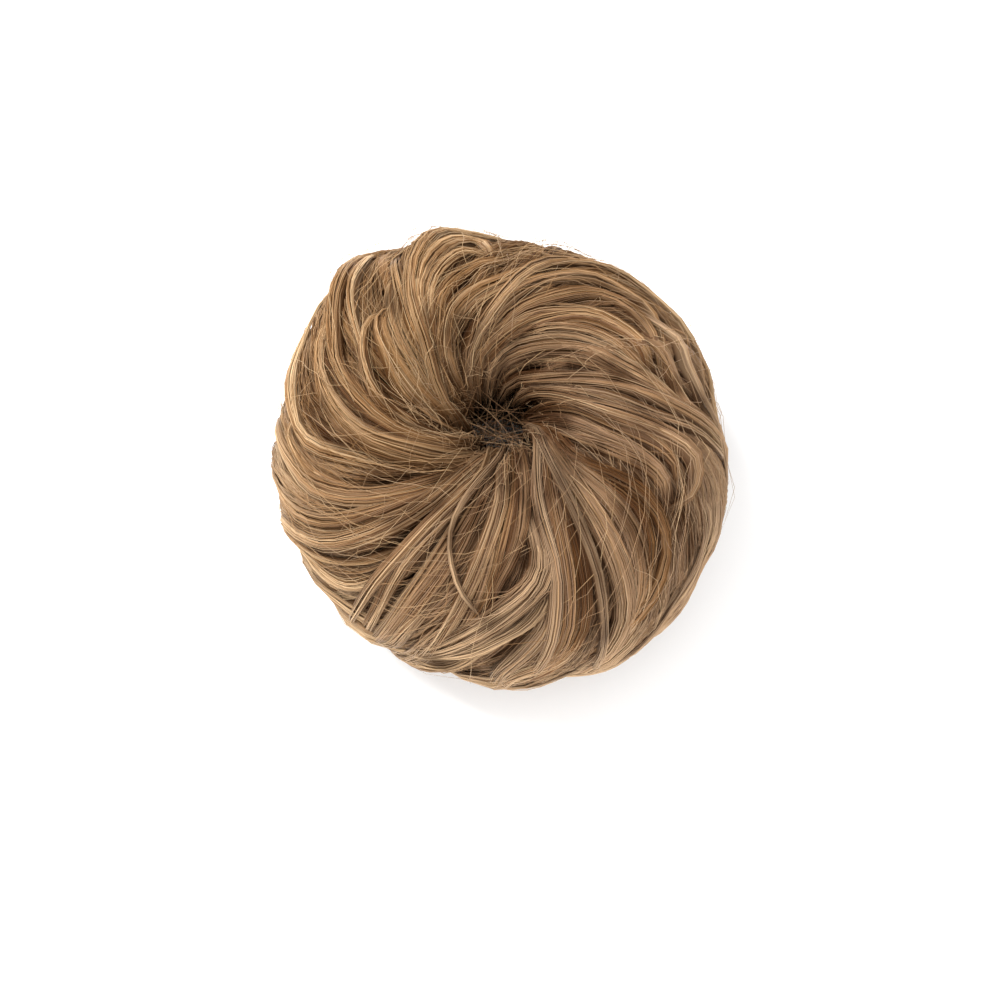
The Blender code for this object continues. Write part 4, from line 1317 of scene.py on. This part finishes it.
def lay_lock(row, kind, number, setup, density, steps, rng):
    """The body and the strands of a laid lock, with so many strands for each millimetre of its width."""
    sizes, strands, packed = setup
    path = laid_path(row)
    settle(laid_bed(row, path), f"{kind}_bed_{number:02d}", packed)
    hair = laid_strands(row, path, int(row.width * density), steps, rng, sizes)
    name = f"{kind}_strands_{number:02d}"
    settle(strand_mesh(name, hair), name, strands)


def add_hairs(name, hairs, amount, rng, setup):
    """A piece of single hairs. amount is how many there are and the points along each."""
    sizes, strands, _ = setup
    settle(strand_mesh(name, hairs(*amount, rng, sizes)), name, strands)


class HairSizes(bpy.types.PropertyGroup):
    strand_radius: bpy.props.FloatProperty(
        name="Strand radius", description="Half the width of one strand", default=0.000108, unit="LENGTH"
    )
    stray_radius: bpy.props.FloatProperty(
        name="Stray radius", description="Half the width of a loose hair", default=0.000060, unit="LENGTH"
    )
    bunch_width: bpy.props.FloatProperty(
        name="Bunch width", description="Width of one bunch of strands", default=0.0014, unit="LENGTH"
    )
    bunch_height: bpy.props.FloatProperty(
        name="Bunch height", description="Half the thickness of a bunch", default=0.00034, unit="LENGTH"
    )
    strand_wave: bpy.props.FloatProperty(
        name="Strand wave", description="How far a strand waves up and down", default=0.00014, unit="LENGTH"
    )
    root_scatter: bpy.props.FloatProperty(
        name="Root scatter", description="Degrees of roll over which strands start", default=14.0
    )
    tip_scatter: bpy.props.FloatProperty(
        name="Tip scatter", description="Degrees of roll over which strands end", default=14.0
    )
    upper_strands: bpy.props.IntProperty(
        name="Upper strands", description="Strands on each upper lock", default=108
    )
    side_strands: bpy.props.IntProperty(
        name="Side strands", description="Strands on each side lock", default=72
    )
    laid_strands: bpy.props.FloatProperty(
        name="Laid strands", description="Strands per millimetre of a laid lock's width", default=9.2
    )
    flank_strands: bpy.props.FloatProperty(
        name="Flank strands", description="Strands per millimetre of a flank lock's width", default=8.6
    )
    laid_steps: bpy.props.IntProperty(
        name="Laid steps", description="Points along a strand of a laid lock", default=23
    )
    strand_steps: bpy.props.IntProperty(
        name="Strand steps", description="Points along a long strand", default=15
    )
    short_steps: bpy.props.IntProperty(
        name="Short steps", description="Points along a short strand", default=10
    )


class HairColours(bpy.types.PropertyGroup):
    # The colour of hair in painted shadow, mixed in by the painted shade; the elastic's threads take it too
    root_colour: bpy.props.FloatVectorProperty(
        name="Shadows", description="Hair in the depths", subtype="COLOR", default=(0.036, 0.0108, 0.0022)
    )
    dark_colour: bpy.props.FloatVectorProperty(
        name="Dark", description="Darkest strands", subtype="COLOR", default=(0.110, 0.042, 0.0112)
    )
    middle_colour: bpy.props.FloatVectorProperty(
        name="Middle", description="Most of the strands", subtype="COLOR", default=(0.305, 0.166, 0.069)
    )
    light_colour: bpy.props.FloatVectorProperty(
        name="Light", description="Lightest strands", subtype="COLOR", default=(0.575, 0.395, 0.222)
    )
    ash_colour: bpy.props.FloatVectorProperty(
        name="Ash", description="Greyer strands", subtype="COLOR", default=(0.30, 0.197, 0.130)
    )
    elastic_colour: bpy.props.FloatVectorProperty(
        name="Elastic", description="The elastic band", subtype="COLOR", default=(0.045, 0.028, 0.018)
    )


class HAIRPIECE_OT_finishes(bpy.types.Operator):
    """Makes the shader groups that the materials share"""

    bl_idname = "hairpiece.finishes"
    bl_label = "Finishes"

    def execute(self, context):
        hair_colour_group()
        streak_group()
        return {"FINISHED"}


class HAIRPIECE_OT_foundation(bpy.types.Operator):
    """Builds the elastic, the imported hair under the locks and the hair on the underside"""

    bl_idname = "hairpiece.foundation"
    bl_label = "Foundation"

    def execute(self, context):
        setup = hair_setup(context, "under bed")
        elastic = finish_named("elastic", elastic_material, context.scene.hair_colours)
        settle(elastic_ring(), "elastic_cord", elastic, ["elastic_band"])
        settle(under_ring(), "under_bed", setup[2], ["under_hair"])
        rng = np.random.default_rng(FOOT_SEED)
        add_hairs("foot_strands", foot_strands, FOOT_HAIRS, rng, setup)
        return {"FINISHED"}


class HAIRPIECE_OT_upper_hair(bpy.types.Operator):
    """Builds the beds and strands of the upper locks"""

    bl_idname = "hairpiece.upper_hair"
    bl_label = "Upper locks"

    def execute(self, context):
        sizes = context.scene.hair_sizes
        build_tier(context, UPPER_TIER, sizes.upper_strands, sizes.strand_steps)
        return {"FINISHED"}


class HAIRPIECE_OT_side_hair(bpy.types.Operator):
    """Builds the beds and strands of the side locks"""

    bl_idname = "hairpiece.side_hair"
    bl_label = "Side locks"

    def execute(self, context):
        sizes = context.scene.hair_sizes
        build_tier(context, SIDE_TIER, sizes.side_strands, sizes.short_steps)
        return {"FINISHED"}


class HAIRPIECE_OT_laid_hair(bpy.types.Operator):
    """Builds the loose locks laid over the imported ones"""

    bl_idname = "hairpiece.laid_hair"
    bl_label = "Laid locks"

    def execute(self, context):
        sizes = context.scene.hair_sizes
        setup = hair_setup(context, "laid bed")
        for index, row in enumerate(LAID_LOCKS):
            rng = np.random.default_rng(LAID_SEED + index)
            lay_lock(row, "laid", index + 1, setup, sizes.laid_strands, sizes.laid_steps, rng)
        return {"FINISHED"}


class HAIRPIECE_OT_flank_hair(bpy.types.Operator):
    """Builds the loose locks that wind down the flank"""

    bl_idname = "hairpiece.flank_hair"
    bl_label = "Flank locks"

    def execute(self, context):
        sizes = context.scene.hair_sizes
        setup = hair_setup(context, "laid bed")
        for index in range(FLANK_LOCKS):
            rng = np.random.default_rng(FLANK_SEED + index)
            row = flank_row(index, rng)
            lay_lock(row, "flank", index + 1, setup, sizes.flank_strands, sizes.strand_steps, rng)
        return {"FINISHED"}


class HAIRPIECE_OT_loose_hair(bpy.types.Operator):
    """Builds the single hairs over the locks and across the opening"""

    bl_idname = "hairpiece.loose_hair"
    bl_label = "Loose hairs"

    def execute(self, context):
        setup = hair_setup(context, "lock bed")
        rng = np.random.default_rng(LOOSE_SEED)
        add_hairs("stray_hairs", stray_hairs, STRAY_HAIRS, rng, setup)
        add_hairs("mouth_frizz", mouth_frizz, FRIZZ_HAIRS, rng, setup)
        add_hairs("opening_hairs", opening_hairs, OPENING_HAIRS, rng, setup)
        return {"FINISHED"}


class HAIRPIECE_OT_stage(bpy.types.Operator):
    """Sets the floor, the light and the camera at the photo's angle"""

    bl_idname = "hairpiece.stage"
    bl_label = "Stage"

    def execute(self, context):
        deselect_all()
        bpy.ops.mesh.primitive_plane_add(size=FLOOR_WIDTH)
        floor = context.object
        floor.name = "floor"
        pale, _, _, shader = plain_material("pale floor", 0.8)
        shader.inputs["Base Color"].default_value = FLOOR_GREY
        floor.data.materials.append(pale)

        world = bpy.data.worlds.new("studio")
        world.use_nodes = True
        world.node_tree.nodes["Background"].inputs["Color"].default_value = (1, 1, 1, 1)
        world.node_tree.nodes["Background"].inputs["Strength"].default_value = SKY_STRENGTH
        context.scene.world = world
        context.scene.view_settings.view_transform = "Standard"
        for lamp in LAMPS:
            add_area_light(*lamp)
        add_camera(context)
        return {"FINISHED"}


def add_area_light(name, place, size, power):
    bpy.ops.object.light_add(type="AREA", location=place)
    lamp = bpy.context.object
    lamp.name = name
    lamp.data.size = size
    lamp.data.energy = power
    lamp.rotation_euler = (AXIS - Vector(place)).to_track_quat("-Z", "Y").to_euler()


def add_camera(context):
    elevation = math.radians(VIEW_ELEVATION)
    right = Vector((1, 0, 0))
    up = Vector((0, math.sin(elevation), math.cos(elevation)))
    back = Vector((0, -math.cos(elevation), math.sin(elevation)))
    mouth = Vector((AXIS.x, AXIS.y, MOUTH_HEIGHT))
    half = PHOTO_PIXELS / 2
    target = mouth - right * (MOUTH_PIXEL[0] - half) / PIXELS_PER_METRE
    target -= up * (half - MOUTH_PIXEL[1]) / PIXELS_PER_METRE
    distance = PHOTO_PIXELS / PIXELS_PER_METRE * LENS / SENSOR_WIDTH
    bpy.ops.object.camera_add(location=target + back * distance)
    camera = context.object
    camera.name = "camera"
    camera.rotation_euler = (-back).to_track_quat("-Z", "Y").to_euler()
    camera.data.lens = LENS
    camera.data.sensor_width = SENSOR_WIDTH
    camera.data.clip_start = 0.01
    camera.data.clip_end = 20.0
    context.scene.camera = camera


class HAIRPIECE_PT_panel(bpy.types.Panel):
    bl_idname = "HAIRPIECE_PT_panel"
    bl_label = "Top knot hairpiece"
    bl_space_type = "VIEW_3D"
    bl_region_type = "UI"
    bl_category = "Hairpiece"

    def draw(self, context):
        for group in (context.scene.hair_sizes, context.scene.hair_colours):
            for name in group.bl_rna.properties.keys():
                if name not in ("rna_type", "name"):
                    self.layout.prop(group, name)
        for step in STEPS:
            self.layout.operator(step.bl_idname)


STEPS = (
    HAIRPIECE_OT_finishes,
    HAIRPIECE_OT_foundation,
    HAIRPIECE_OT_upper_hair,
    HAIRPIECE_OT_side_hair,
    HAIRPIECE_OT_laid_hair,
    HAIRPIECE_OT_flank_hair,
    HAIRPIECE_OT_loose_hair,
    HAIRPIECE_OT_stage,
)
CLASSES = (HairSizes, HairColours, *STEPS, HAIRPIECE_PT_panel)


def register():
    for one in CLASSES:
        bpy.utils.register_class(one)
    bpy.types.Scene.hair_sizes = bpy.props.PointerProperty(type=HairSizes)
    bpy.types.Scene.hair_colours = bpy.props.PointerProperty(type=HairColours)


def unregister():
    del bpy.types.Scene.hair_colours
    del bpy.types.Scene.hair_sizes
    for one in reversed(CLASSES):
        bpy.utils.unregister_class(one)


def main():
    register()
    bpy.ops.hairpiece.finishes()
    bpy.ops.hairpiece.foundation()
    bpy.ops.hairpiece.upper_hair()
    bpy.ops.hairpiece.side_hair()
    bpy.ops.hairpiece.laid_hair()
    bpy.ops.hairpiece.flank_hair()
    bpy.ops.hairpiece.loose_hair()
    bpy.ops.hairpiece.stage()


if __name__ == "__main__":
    main()
